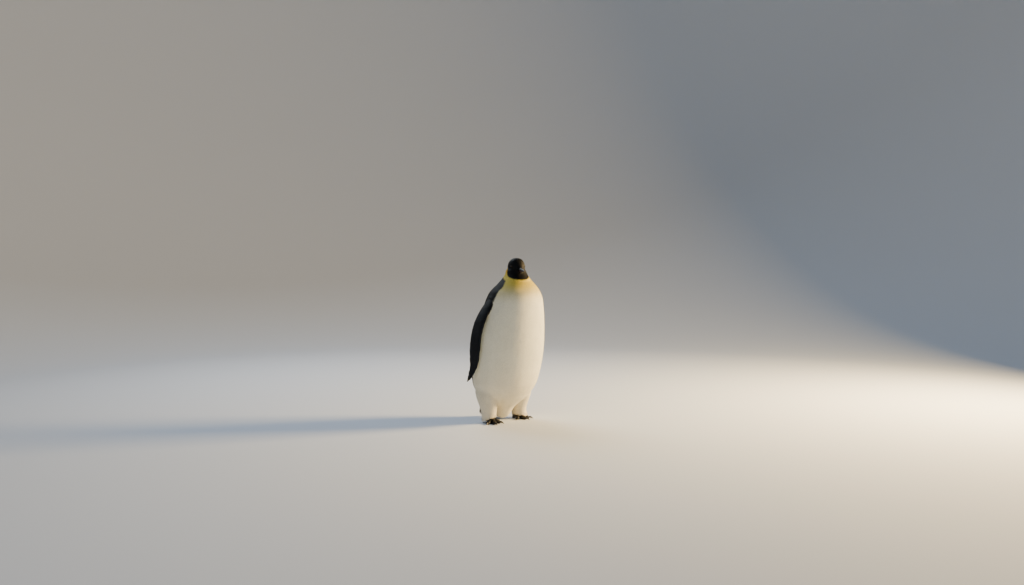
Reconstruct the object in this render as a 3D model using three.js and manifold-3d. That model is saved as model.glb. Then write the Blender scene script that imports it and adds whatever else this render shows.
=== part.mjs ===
// Emperor penguin, adult, standing with its neck drawn in: a still, life-size model.
// Millimetres, +Z up. The bird faces -Y and its left side is +X. The soles and the tail's tip
// stand on Z = 0, and the origin is the middle of the base of its bounding box.
import * as THREE from "three";
import { mergeVertices } from "three/addons/utils/BufferGeometryUtils.js";
import Module from "manifold-3d";

const wasm = await Module();
wasm.setup();

// Driving dimensions.
const STATURE = 980; // floor to crown
const GAP = 0.3; // left between neighbouring solids
const BELLY_FLOOR = 12; // the vent's down hangs this high over the floor
const NECK_TOP = 950; // the neck's column ends inside the head
const HEAD_TURN = THREE.MathUtils.degToRad(-22); // the head looks a little to the bird's right
const EYE_RADIUS = 8.5;
const BILL_LENGTH = 82; // from inside the face to the tip
const SIDES = { right: -1, left: 1 };

// ---------------------------------------------------------------- solids and curves

// A point given as distances to the bird's left, ahead of the origin and above the floor.
const at = (left, ahead, up) => new THREE.Vector3(left, -ahead, up);

const AHEAD = at(0, 1, 0);
const LEFT = at(1, 0, 0);
const UP = at(0, 0, 1);

// A smooth function of x through the given knots: cubic pieces with the mean slope at each knot.
function through(xs, ys) {
  const last = xs.length - 1;
  const rise = (i) => (ys[i + 1] - ys[i]) / (xs[i + 1] - xs[i]);
  const slopes = xs.map((_, i) => {
    if (i === 0) return rise(0);
    if (i === last) return rise(last - 1);
    return (rise(i - 1) + rise(i)) / 2;
  });
  return (x) => {
    let i = 0;
    while (i < last - 1 && x > xs[i + 1]) i += 1;
    const step = xs[i + 1] - xs[i];
    const t = THREE.MathUtils.clamp((x - xs[i]) / step, 0, 1);
    const from = ys[i] * (1 + 2 * t) * (1 - t) ** 2 + ys[i + 1] * t * t * (3 - 2 * t);
    return from + step * t * (1 - t) * (slopes[i] * (1 - t) - slopes[i + 1] * t);
  };
}

// The functions of a set of stations. Each station has its place s along the body, from 0 to 1,
// and its other values. They are spaced by the turn of a half circle, so that the ends come out round.
function stationCurves(stations) {
  const turn = (s) => Math.acos(1 - 2 * s);
  const turns = stations.map((station) => turn(station.s));
  const curves = {};
  for (const key of Object.keys(stations[0])) {
    if (key !== "s") curves[key] = through(turns, stations.map((station) => station[key]));
  }
  return (s) => Object.fromEntries(Object.keys(curves).map((key) => [key, curves[key](turn(s))]));
}

// Gives each station its s from one of its own values, such as its height.
function spaced(stations, key) {
  const first = stations[0][key];
  const span = stations.at(-1)[key] - first;
  return stations.map((station) => ({ s: (station[key] - first) / span, ...station }));
}

function solidOf(geometry) {
  const bare = geometry.clone();
  bare.deleteAttribute("normal");
  bare.deleteAttribute("uv");
  const merged = mergeVertices(bare, 1e-3);
  return new wasm.Manifold(
    new wasm.Mesh({
      numProp: 3,
      vertProperties: new Float32Array(merged.attributes.position.array),
      triVerts: new Uint32Array(merged.index.array),
    }),
  );
}

// A closed body whose rings are set by a function of s: each ring has a centre, a direction across
// with its half width, and a direction up with its half heights above and below.
// A sphere's own rings are moved there, so that both ends close in a pole.
function loft(ringAt, around, along) {
  const geometry = new THREE.SphereGeometry(1, around, along);
  const spots = geometry.attributes.position;
  for (let i = 0; i < spots.count; i += 1) {
    const height = THREE.MathUtils.clamp(spots.getY(i), -1, 1);
    const ring = ringAt((1 - height) / 2);
    const isPole = Math.abs(height) > 1 - 1e-6;
    const angle = Math.atan2(spots.getZ(i), spots.getX(i));
    const [cos, sin] = [Math.cos(angle), Math.sin(angle)];
    const across = isPole ? 0 : Math.sign(cos) * Math.abs(cos) ** ring.square * ring.wide;
    const rise = Math.sign(sin) * Math.abs(sin) ** ring.square * (sin > 0 ? ring.high : ring.low);
    const spot = ring.centre
      .clone()
      .addScaledVector(ring.across, across)
      .addScaledVector(ring.up, isPole ? 0 : rise);
    spots.setXYZ(i, spot.x, spot.y, spot.z);
  }
  const solid = solidOf(geometry);
  if (solid.volume() > 0) return solid;
  const turned = geometry.index.array;
  for (let i = 0; i < turned.length; i += 3) {
    [turned[i + 1], turned[i + 2]] = [turned[i + 2], turned[i + 1]];
  }
  return solidOf(geometry);
}

const ROUND = 1; // a ring's corner power: 1 is an ellipse, less is squarer
const FULL = 0.94; // a body packed with flesh and down
const SKULL = 0.84; // broad and rather flat over the crown

function box(low, high) {
  const geometry = new THREE.BoxGeometry(high[0] - low[0], high[1] - low[1], high[2] - low[2]);
  geometry.translate((low[0] + high[0]) / 2, (low[1] + high[1]) / 2, (low[2] + high[2]) / 2);
  return solidOf(geometry);
}

// A slab far wider than the bird, between two planes that tilt by a slope forward of a line
// across the bird and by a lean to the left of a line along it.
const WIDE = 600;
function slab(low, high, slope, pivotAhead, lean = 0, pivotLeft = 0) {
  const geometry = new THREE.BoxGeometry(2 * WIDE, 2 * WIDE, high - low);
  geometry.translate(0, 0, (low + high) / 2);
  const spots = geometry.attributes.position;
  for (let i = 0; i < spots.count; i += 1) {
    const tilt = slope * (spots.getY(i) + pivotAhead) + lean * (spots.getX(i) - pivotLeft);
    spots.setZ(i, spots.getZ(i) + tilt);
  }
  return solidOf(geometry);
}

const aboveFloor = box([-WIDE, -WIDE, 0], [WIDE, WIDE, 2 * STATURE]);

// ---------------------------------------------------------------- trunk and neck

// Level rings from the vent to the inside of the head. The bird leans ahead and a little to its
// left as it rises, is widest low on the belly, and its shoulders slope into a short neck.
const columnStations = [
  { up: BELLY_FLOOR, left: 4, ahead: -50, wide: 0, fore: 0, aft: 0 },
  { up: 42, left: 4, ahead: -50, wide: 42, fore: 50, aft: 96 },
  { up: 75, left: 4, ahead: -50, wide: 58, fore: 68, aft: 117 },
  { up: 108, left: 4, ahead: -48, wide: 84, fore: 98, aft: 134 },
  { up: 145, left: 4, ahead: -44, wide: 131, fore: 138, aft: 152 },
  { up: 207, left: 4, ahead: -38, wide: 182, fore: 181, aft: 176 },
  { up: 300, left: 4, ahead: -22, wide: 200, fore: 202, aft: 198 },
  { up: 425, left: 4, ahead: 4, wide: 205, fore: 205, aft: 202 },
  { up: 550, left: 5, ahead: 22, wide: 198, fore: 198, aft: 194 },
  { up: 697, left: 8, ahead: 46, wide: 173, fore: 175, aft: 170 },
  { up: 776, left: 9, ahead: 60, wide: 149, fore: 151, aft: 148 },
  { up: 822, left: 10, ahead: 66, wide: 110, fore: 112, aft: 110 },
  { up: 862, left: 10, ahead: 68, wide: 74, fore: 79, aft: 74 },
  { up: 905, left: 9, ahead: 66, wide: 54, fore: 60, aft: 58 },
  { up: NECK_TOP, left: 8, ahead: 64, wide: 0, fore: 0, aft: 0 },
];
const columnAt = stationCurves(spaced(columnStations, "up"));
const columnShare = (up) => (up - BELLY_FLOOR) / (NECK_TOP - BELLY_FLOOR);

function column(grow = 0) {
  const ringAt = (s) => {
    const ring = columnAt(s);
    return {
      centre: at(ring.left, ring.ahead, THREE.MathUtils.lerp(BELLY_FLOOR - grow, NECK_TOP, s)),
      across: LEFT,
      up: AHEAD,
      wide: ring.wide + grow,
      high: ring.fore + grow,
      low: ring.aft + grow,
      square: FULL,
    };
  };
  return loft(ringAt, 32, 28);
}

// The neck is parted from the trunk over the shoulders and from the head under the throat.
const SHOULDER_CUT = { up: 806, slope: 0.3, ahead: 58 };
const THROAT_CUT = { up: 870, slope: 0.24, ahead: 64 };

const bodyColumn = column();
const grownColumn = column(GAP);

function partOfColumn(solid, low, high) {
  const lower = low ? slab(low.up, 2 * STATURE, low.slope, low.ahead) : null;
  const upper = high ? slab(-STATURE, high.up - GAP, high.slope, high.ahead) : null;
  let part = solid;
  if (lower) part = part.intersect(lower);
  if (upper) part = part.intersect(upper);
  return part;
}

// ---------------------------------------------------------------- head

// The head's own axes: straight ahead along the bill, and across. It sits on the neck's top.
const headAhead = AHEAD.clone().applyAxisAngle(UP, HEAD_TURN);
const headLeft = LEFT.clone().applyAxisAngle(UP, HEAD_TURN);
const headMiddle = at(10, 74, 0);
const inHead = (left, ahead, up) =>
  headMiddle
    .clone()
    .addScaledVector(headLeft, left)
    .addScaledVector(headAhead, ahead)
    .addScaledVector(UP, up);

// Upright rings from the back of the head to the face, which tapers down into the bill.
const CROWN = STATURE - 2; // the crown's height at its ring; the curve rises a little between rings
const headStations = [
  { ahead: -69, middle: 914, wide: 0, high: 0, low: 0 },
  { ahead: -48, middle: 916, wide: 40, high: 46, low: 42 },
  { ahead: -20, middle: 917, wide: 48.5, high: CROWN - 918, low: 49 },
  { ahead: 4, middle: 917, wide: 48.5, high: CROWN - 918, low: 48 },
  { ahead: 24, middle: 916, wide: 43, high: 56, low: 44 },
  { ahead: 42, middle: 913, wide: 31.5, high: 41.5, low: 33.5 },
  { ahead: 57, middle: 910.5, wide: 19.5, high: 24, low: 21.5 },
  { ahead: 70, middle: 909.5, wide: 11.5, high: 13.5, low: 13 },
  { ahead: 77, middle: 909, wide: 0, high: 0, low: 0 },
];
const NAPE = headStations[0].ahead;
const FACE = headStations.at(-1).ahead;
const headAt = stationCurves(spaced(headStations, "ahead"));

function skull(grow = 0) {
  const ringAt = (s) => {
    const ring = headAt(s);
    return {
      centre: inHead(0, THREE.MathUtils.lerp(NAPE - grow, FACE + grow, s), ring.middle),
      across: headLeft,
      up: UP,
      wide: ring.wide + grow,
      high: ring.high + grow,
      low: ring.low + grow,
      square: SKULL,
    };
  };
  return loft(ringAt, 22, 15);
}

const EYE_SPOT = { left: 36.8, ahead: 22, up: 930 };

function eyeball(side, grow = 0) {
  const geometry = new THREE.SphereGeometry(EYE_RADIUS + grow, 12, 8);
  const spot = inHead(side * EYE_SPOT.left, EYE_SPOT.ahead, EYE_SPOT.up);
  geometry.translate(spot.x, spot.y, spot.z);
  return solidOf(geometry);
}

// ---------------------------------------------------------------- bill

// Slender and bent down towards the tip. The lower half is shorter, so the upper one's tip
// stands over it, and it is cut back from the upper half along the mouth.
const BILL_ROOT = 62; // ahead of the head's middle, inside the face
const upperBillStations = [
  { along: 0, middle: 910, wide: 0, high: 0, low: 0 },
  { along: 6, middle: 910, wide: 9.5, high: 11, low: 3 },
  { along: 30, middle: 910, wide: 7.4, high: 7.6, low: 3 },
  { along: 55, middle: 907.5, wide: 5.2, high: 5.2, low: 2.6 },
  { along: 75, middle: 902.5, wide: 3.2, high: 3.4, low: 2.3 },
  { along: BILL_LENGTH, middle: 898.5, wide: 0, high: 0, low: 0 },
];
const LOWER_SHARE = 0.93; // the lower half's length over the upper one's
const lowerBillStations = [
  { along: 0, middle: 906, wide: 0, high: 0, low: 0 },
  { along: 6, middle: 905.5, wide: 8.8, high: 5, low: 8.5 },
  { along: 28, middle: 905.5, wide: 6.8, high: 4, low: 6.4 },
  { along: 52, middle: 903.5, wide: 4.8, high: 3, low: 4.6 },
  { along: 70, middle: 899.5, wide: 2.9, high: 2.4, low: 3 },
  { along: BILL_LENGTH * LOWER_SHARE, middle: 896.5, wide: 0, high: 0, low: 0 },
];

function billHalf(stations, grow = 0) {
  const curves = stationCurves(spaced(stations, "along"));
  const length = stations.at(-1).along;
  const ringAt = (s) => {
    const ring = curves(s);
    return {
      centre: inHead(0, BILL_ROOT + THREE.MathUtils.lerp(-grow, length + grow, s), ring.middle),
      across: headLeft,
      up: UP,
      wide: ring.wide + grow,
      high: ring.high + grow,
      low: ring.low + grow,
      square: ROUND,
    };
  };
  return loft(ringAt, 12, 10);
}

// The coloured horny plate along each side of the lower half, as thin as a fingernail.
// It narrows to a share of its height at its front end, and its lower edge drops in a curve.
const PLATE = { from: 16, to: 62, thick: 0.9, above: 905, below: 898.8, tipShare: 0.4, drop: 7.4 };
const SIDE_ROOM = 20; // more than the bill's width, so that a cut spans one whole side of it

function billPlate(side) {
  const shell = billHalf(lowerBillStations, GAP + PLATE.thick)
    .subtract(billHalf(lowerBillStations, GAP))
    .subtract(billHalf(upperBillStations, GAP));
  const length = PLATE.to - PLATE.from;
  const window = new THREE.BoxGeometry(SIDE_ROOM, length, PLATE.above - PLATE.below, 1, 8, 1);
  const spots = window.attributes.position;
  for (let i = 0; i < spots.count; i += 1) {
    const along = spots.getY(i) + length / 2;
    const share = along / length;
    const taper = THREE.MathUtils.lerp(1, PLATE.tipShare, share);
    const spot = inHead(
      side * (SIDE_ROOM / 2 + GAP + spots.getX(i)),
      BILL_ROOT + PLATE.from + along,
      (PLATE.above + PLATE.below) / 2 - PLATE.drop * share ** 2 + spots.getZ(i) * taper,
    );
    spots.setXYZ(i, spot.x, spot.y, spot.z);
  }
  let cutter = solidOf(window);
  if (cutter.volume() < 0) cutter = solidOf(turnedOut(window));
  return largest(shell.intersect(cutter));
}

function turnedOut(geometry) {
  const index = geometry.index.array;
  for (let i = 0; i < index.length; i += 3) {
    [index[i + 1], index[i + 2]] = [index[i + 2], index[i + 1]];
  }
  return geometry;
}

// A cut can leave crumbs beside the piece itself.
function largest(solid) {
  return solid.decompose().reduce((a, b) => (a.volume() > b.volume() ? a : b));
}

// ---------------------------------------------------------------- flippers

// Flat stiff blades from the shoulder down, a hand's breadth wide. Distances out are measured
// from the trunk's own middle at that height. The left one is held a little further out and ahead.
const flipperStations = [
  { up: 806, out: 84, ahead: 46, chord: 0, thick: 0 },
  { up: 766, out: 134, ahead: 38, chord: 66, thick: 30 },
  { up: 728, out: 159, ahead: 30, chord: 84, thick: 33 },
  { up: 686, out: 185, ahead: 20, chord: 91, thick: 30 },
  { up: 612, out: 217, ahead: 3, chord: 97, thick: 23 },
  { up: 520, out: 226, ahead: -20, chord: 98, thick: 17 },
  { up: 430, out: 227, ahead: -31, chord: 96, thick: 13.5 },
  { up: 350, out: 221, ahead: -46, chord: 77, thick: 11 },
  { up: 288, out: 228, ahead: -67, chord: 56, thick: 8.5 },
  { up: 242, out: 251, ahead: -92, chord: 0, thick: 0 },
];
const FLIPPER_POSE = { right: { spread: 0, swing: 0 }, left: { spread: 15, swing: 26 } };
const OUTER_SHARE = 0.42; // of the thickness lies on the outer side
const CHORD_RISE = 0.2; // the chord climbs ahead, square to the blade's own lean
const TOE_IN = 0.08; // and its leading edge turns in
const flipperAt = stationCurves(spaced([...flipperStations].reverse(), "up"));
const FLIPPER_TIP = flipperStations.at(-1).up;
const FLIPPER_ROOT = flipperStations[0].up;

function flipper(name) {
  const side = SIDES[name];
  const pose = FLIPPER_POSE[name];
  const ringAt = (s) => {
    const ring = flipperAt(s);
    const up = THREE.MathUtils.lerp(FLIPPER_TIP, FLIPPER_ROOT, s);
    const reach = (1 - s) ** 1.5;
    const middle = columnAt(columnShare(up));
    const out = ring.out + pose.spread * reach;
    const ahead = ring.ahead + pose.swing * reach;
    const chordWay = at(-side * TOE_IN, 1, CHORD_RISE).normalize();
    const faceWay = LEFT.clone().multiplyScalar(side).addScaledVector(AHEAD, TOE_IN).normalize();
    return {
      centre: at(middle.left + side * out, ahead, up),
      across: chordWay,
      up: faceWay,
      wide: ring.chord / 2,
      high: ring.thick * OUTER_SHARE,
      low: ring.thick * (1 - OUTER_SHARE),
      square: FULL,
    };
  };
  return loft(ringAt, 14, 20);
}

// ---------------------------------------------------------------- legs and feet

// Short legs under thick down, set wide. The right foot stands a little ahead. The down ends in
// a slant, lowest at the right heel and over the left outer toe, where it also spreads.
const LEGS = {
  right: {
    stand: at(-125, -20, 0),
    hip: at(-118, -46, 0),
    turnOut: THREE.MathUtils.degToRad(20),
    hem: { up: 27, slope: -0.42, lean: 0.2 },
    spread: { by: at(0, 0, 0), swell: 3 },
  },
  left: {
    stand: at(125, -44, 0),
    hip: at(119, -30, 0),
    turnOut: THREE.MathUtils.degToRad(1),
    hem: { up: 19, slope: -0.08, lean: -0.32 },
    spread: { by: at(9, 9, 0), swell: 11 },
  },
};
const SPREAD_UP = 70; // where the down begins to spread towards the foot
const ANKLE = { inward: 12, back: 4 }; // from the middle of the leg
const LEG_TOP = 245;
const LEG_FOOT = 0;
// The share tells how far each ring's middle lies from the stand to under the hip.
const legStations = [
  { up: LEG_FOOT, share: 0, wide: 0, deep: 0 },
  { up: 14, share: 0, wide: 40, deep: 45 },
  { up: 40, share: 0.05, wide: 39, deep: 46 },
  { up: 75, share: 0.2, wide: 43, deep: 52 },
  { up: 112, share: 0.5, wide: 51, deep: 64 },
  { up: 160, share: 1, wide: 58, deep: 81 },
  { up: 205, share: 1.2, wide: 51, deep: 77 },
  { up: LEG_TOP, share: 1.2, wide: 0, deep: 0 },
];
const legAt = stationCurves(spaced(legStations, "up"));

function leg(name, grow = 0) {
  const { stand, hip, hem, spread } = LEGS[name];
  const ringAt = (s) => {
    const ring = legAt(s);
    const up = THREE.MathUtils.lerp(LEG_FOOT - grow, LEG_TOP + grow, s);
    const low = Math.max(0, 1 - up / SPREAD_UP) ** 2;
    return {
      centre: stand.clone().lerp(hip, ring.share).addScaledVector(UP, up).addScaledVector(spread.by, low),
      across: LEFT,
      up: AHEAD,
      wide: ring.wide + spread.swell * low + grow,
      high: ring.deep + spread.swell * low + grow,
      low: ring.deep + spread.swell * low + grow,
      square: FULL,
    };
  };
  const over = slab(hem.up - grow, 2 * STATURE, hem.slope, -stand.y, hem.lean, stand.x);
  return loft(ringAt, 20, 14).intersect(over);
}

// A foot's own axes: along its middle toe and to its outer side.
function footFrame(name) {
  const side = SIDES[name];
  const { stand, turnOut } = LEGS[name];
  const ahead = AHEAD.clone().applyAxisAngle(UP, side * turnOut);
  const outward = LEFT.clone().multiplyScalar(side).applyAxisAngle(UP, side * turnOut);
  const spot = (out, along, up) =>
    stand
      .clone()
      .addScaledVector(UP, up)
      .addScaledVector(outward, out - ANKLE.inward)
      .addScaledVector(ahead, along - ANKLE.back);
  return { ahead, outward, spot, side };
}

// The toes' turns outwards from the middle one, and the reach of the flesh from the ankle, the
// half width at the knuckles and the length of the claw.
const TOES = {
  inner: { turn: THREE.MathUtils.degToRad(-36), reach: 68, half: 13.5, claw: 28 },
  middle: { turn: 0, reach: 87, half: 15, claw: 32 },
  outer: { turn: THREE.MathUtils.degToRad(32), reach: 79, half: 13.5, claw: 27 },
};
const TOE_HEIGHT = 24;
const SOLE_DEPTH = 7; // a ring's lower half; what is under the floor's level is cut off flat
const TOE_AXIS = 4; // the height of a toe's middle line

// A thick-padded toe with a flat sole, highest over its knuckle and low at the claw.
function toe(frame, size) {
  const way = frame.ahead.clone().applyAxisAngle(UP, frame.side * size.turn);
  const across = new THREE.Vector3().crossVectors(UP, way);
  const start = frame.spot(0, 0, 0);
  const height = through([0, 0.5, 0.8, 1], [1.25, 1, 0.84, 0.7]);
  const width = through([0, 0.2, 0.45, 0.62, 0.8, 1], [1.1, 0.95, 0.98, 0.86, 0.95, 0.72]);
  const ringAt = (s) => {
    const round = 2 * Math.sqrt(Math.max(s * (1 - s), 0));
    const end = Math.min(1, round * 1.7);
    return {
      centre: start.clone().addScaledVector(way, size.reach * s).addScaledVector(UP, TOE_AXIS),
      across,
      up: UP,
      wide: size.half * width(s) * end,
      high: (TOE_HEIGHT * height(s) - TOE_AXIS) * end,
      low: SOLE_DEPTH * end,
      square: FULL,
    };
  };
  return loft(ringAt, 10, 10);
}

// The web joins the toes as a thin skin that thickens towards the ankle.
const WEB = { thick: 5, tip: 0.86, notch: 0.62, heel: 8, half: 9 };
function web(frame) {
  const start = frame.spot(0, 0, 0);
  const tips = [TOES.outer, TOES.middle, TOES.inner].map((size) => {
    const way = frame.ahead.clone().applyAxisAngle(UP, frame.side * size.turn);
    return start.clone().addScaledVector(way, size.reach * WEB.tip);
  });
  const notch = (a, b) => start.clone().lerp(a.clone().lerp(b, 0.5), WEB.notch);
  const edge = [
    frame.spot(WEB.half, -WEB.heel, 0),
    tips[0],
    notch(tips[0], tips[1]),
    tips[1],
    notch(tips[1], tips[2]),
    tips[2],
    frame.spot(-WEB.half, -WEB.heel, 0),
  ];
  const shape = new THREE.Shape(edge.map((p) => new THREE.Vector2(p.x, p.y)));
  const geometry = new THREE.ExtrudeGeometry(shape, { depth: WEB.thick, bevelEnabled: false });
  return solidOf(geometry);
}

// The ankle: a low wedge of flesh from the heel up into the leg's down.
const HEEL = -34;
const INSTEP = 46;
function ankle(frame) {
  const stations = [
    { along: HEEL, wide: 0, high: 0 },
    { along: -22, wide: 18, high: 24 },
    { along: 0, wide: 24, high: 42 },
    { along: 22, wide: 25, high: 31 },
    { along: INSTEP, wide: 0, high: 0 },
  ];
  const curves = stationCurves(spaced(stations, "along"));
  const ringAt = (s) => {
    const ring = curves(s);
    return {
      centre: frame.spot(0, THREE.MathUtils.lerp(HEEL, INSTEP, s), TOE_AXIS),
      across: frame.outward,
      up: UP,
      wide: ring.wide,
      high: ring.high,
      low: Math.min(ring.high, SOLE_DEPTH),
      square: FULL,
    };
  };
  return loft(ringAt, 12, 8);
}

// The small hind toe leaves the inner side of the ankle, clear of the floor.
const HIND_TOE = {
  inward: 19,
  along: -6,
  up: 20,
  length: 28,
  half: 6.2,
  claw: 10,
  drop: 0.16,
  inTurn: 0.6,
};
const hindWay = (frame) =>
  frame.ahead
    .clone()
    .addScaledVector(frame.outward, -HIND_TOE.inTurn)
    .addScaledVector(UP, -HIND_TOE.drop)
    .normalize();

function hindToe(frame) {
  const root = frame.spot(-HIND_TOE.inward, HIND_TOE.along, HIND_TOE.up);
  const way = hindWay(frame);
  const across = new THREE.Vector3().crossVectors(UP, way).normalize();
  const ringAt = (s) => {
    const half = HIND_TOE.half * 2 * Math.sqrt(Math.max(s * (1 - s), 0)) * (1.1 - 0.3 * s);
    return {
      centre: root.clone().addScaledVector(way, HIND_TOE.length * s),
      across,
      up: UP,
      wide: half,
      high: half,
      low: half,
      square: ROUND,
    };
  };
  return loft(ringAt, 8, 6);
}

// A horn claw: a cone that bends down to the floor from the end of its toe.
function clawAt(root, way, length, half, drop, grow) {
  const across = new THREE.Vector3().crossVectors(UP, way).normalize();
  const ringAt = (s) => {
    const taper = s < CLAW.swell ? Math.sqrt(s / CLAW.swell) : (1 - s) / (1 - CLAW.swell);
    return {
      centre: root
        .clone()
        .addScaledVector(way, THREE.MathUtils.lerp(-grow, length + grow, s))
        .addScaledVector(UP, -drop * s * s),
      across,
      up: UP,
      wide: half * taper + grow,
      high: half * 1.1 * taper + grow,
      low: half * 0.9 * taper + grow,
      square: ROUND,
    };
  };
  return loft(ringAt, 8, 6);
}

const CLAW = { bury: 6, half: 6.8, up: 9.5, drop: 8, swell: 0.2 };
function claws(frame, grow = 0) {
  const made = {};
  for (const [name, size] of Object.entries(TOES)) {
    const way = frame.ahead.clone().applyAxisAngle(UP, frame.side * size.turn);
    const root = frame.spot(0, 0, CLAW.up).addScaledVector(way, size.reach - CLAW.bury);
    made[name] = clawAt(root, way, size.claw + CLAW.bury, CLAW.half, CLAW.drop, grow);
  }
  const way = hindWay(frame);
  const root = frame
    .spot(-HIND_TOE.inward, HIND_TOE.along, HIND_TOE.up)
    .addScaledVector(way, HIND_TOE.length - CLAW.bury);
  made.hind = clawAt(root, way, HIND_TOE.claw + CLAW.bury, CLAW.half / 2, CLAW.drop / 3, grow);
  return made;
}

// ---------------------------------------------------------------- tail

// A short stiff wedge that carries on the line of the back and props on the floor.
const TAIL = { top: 175, left: 4 };
const tailStations = [
  { s: 0, ahead: -210, wide: 0, thick: 0 },
  { s: 0.06, ahead: -204, wide: 62, thick: 6 },
  { s: 0.2, ahead: -194, wide: 63, thick: 9 },
  { s: 0.4, ahead: -187, wide: 56, thick: 14 },
  { s: 0.7, ahead: -182, wide: 46, thick: 22 },
  { s: 0.92, ahead: -180, wide: 34, thick: 26 },
  { s: 1, ahead: -180, wide: 0, thick: 0 },
];
const tailAt = stationCurves(tailStations);

function tail() {
  const bottom = -9; // the rounded end is cut off flat at the floor
  const lift = tailStations.at(-1).ahead - tailStations[0].ahead;
  const way = at(0, lift, TAIL.top - bottom).normalize();
  const face = new THREE.Vector3().crossVectors(LEFT, way).normalize();
  const ringAt = (s) => {
    const ring = tailAt(s);
    return {
      centre: at(TAIL.left, ring.ahead, THREE.MathUtils.lerp(bottom, TAIL.top, s)),
      across: LEFT,
      up: face,
      wide: ring.wide,
      high: ring.thick / 2,
      low: ring.thick / 2,
      square: FULL,
    };
  };
  return loft(ringAt, 18, 12).intersect(aboveFloor);
}

// ---------------------------------------------------------------- materials and assembly

const plumage = (name, color, roughness) =>
  new THREE.MeshStandardMaterial({ name, color, roughness, metalness: 0 });
const finishes = {
  hood: plumage("hood", 0x0b0a0c, 0.6),
  breast: plumage("breast", 0xe9dca6, 0.75),
  body: plumage("body", 0xece9e0, 0.8),
  flipper: plumage("flipper", 0x20242c, 0.55),
  tail: plumage("tail", 0x1b1d22, 0.6),
  down: plumage("down", 0xe2ddcc, 0.85),
  foot: plumage("foot", 0x1d1a1a, 0.5),
  claw: plumage("claw", 0x191513, 0.35),
  bill: plumage("bill", 0x141214, 0.3),
  plate: plumage("plate", 0xc77a68, 0.35),
  eye: plumage("eye", 0x120b07, 0.08),
};

function meshOf(name, solid, material) {
  const { vertProperties, triVerts, numProp } = solid.getMesh();
  const count = vertProperties.length / numProp;
  const spots = new Float32Array(count * 3);
  for (let i = 0; i < count; i += 1) {
    spots.set(vertProperties.subarray(i * numProp, i * numProp + 3), i * 3);
  }
  const geometry = new THREE.BufferGeometry();
  geometry.setAttribute("position", new THREE.BufferAttribute(spots, 3));
  geometry.setIndex(new THREE.BufferAttribute(new Uint32Array(triVerts), 1));
  geometry.computeVertexNormals();
  const mesh = new THREE.Mesh(geometry, material);
  mesh.name = name;
  return mesh;
}

const bird = new THREE.Group();
const add = (name, solid, material) => bird.add(meshOf(name, largest(solid), material));

const upperBill = billHalf(upperBillStations);
const lowerBill = billHalf(lowerBillStations).subtract(billHalf(upperBillStations, GAP));
const billRoom = billHalf(upperBillStations, GAP).add(billHalf(lowerBillStations, GAP));
const hood = skull()
  .add(partOfColumn(bodyColumn, THROAT_CUT, null))
  .intersect(slab(THROAT_CUT.up, 2 * STATURE, THROAT_CUT.slope, THROAT_CUT.ahead))
  .subtract(eyeball(SIDES.right, GAP))
  .subtract(eyeball(SIDES.left, GAP));
const face = skull(GAP).add(grownColumn);

add("head", hood.subtract(billRoom), finishes.hood);
add("neck", partOfColumn(bodyColumn.add(skull()), SHOULDER_CUT, THROAT_CUT), finishes.breast);
add("trunk", partOfColumn(bodyColumn, null, SHOULDER_CUT), finishes.body);
add("tail", tail().subtract(grownColumn), finishes.tail);
add("bill_upper", upperBill, finishes.bill);
add("bill_lower", lowerBill, finishes.bill);

for (const [name, side] of Object.entries(SIDES)) {
  const frame = footFrame(name);
  const down = leg(name).subtract(grownColumn);
  const grownLeg = leg(name, GAP);
  const nails = claws(frame);
  const grownNails = claws(frame, GAP);
  let foot = ankle(frame).add(web(frame)).add(hindToe(frame));
  for (const size of Object.values(TOES)) foot = foot.add(toe(frame, size));
  foot = foot.intersect(aboveFloor).subtract(grownColumn).subtract(grownLeg);
  for (const [toeName, nail] of Object.entries(nails)) {
    foot = foot.subtract(grownNails[toeName]);
    add(`claw_${name}_${toeName}`, nail.intersect(aboveFloor), finishes.claw);
  }
  add(`eye_${name}`, eyeball(side), finishes.eye);
  add(`bill_plate_${name}`, billPlate(side).subtract(face), finishes.plate);
  add(`flipper_${name}`, flipper(name).subtract(grownColumn), finishes.flipper);
  add(`leg_${name}`, down, finishes.down);
  add(`foot_${name}`, foot, finishes.foot);
}

// The origin goes to the middle of the base of the bird's box.
const extent = new THREE.Box3().setFromObject(bird);
const middle = extent.getCenter(new THREE.Vector3());
bird.position.set(-middle.x, -middle.y, -extent.min.z);

export default bird;
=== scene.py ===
import math

import bmesh
import bpy
import numpy as np
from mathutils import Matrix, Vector
from mathutils.bvhtree import BVHTree


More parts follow.
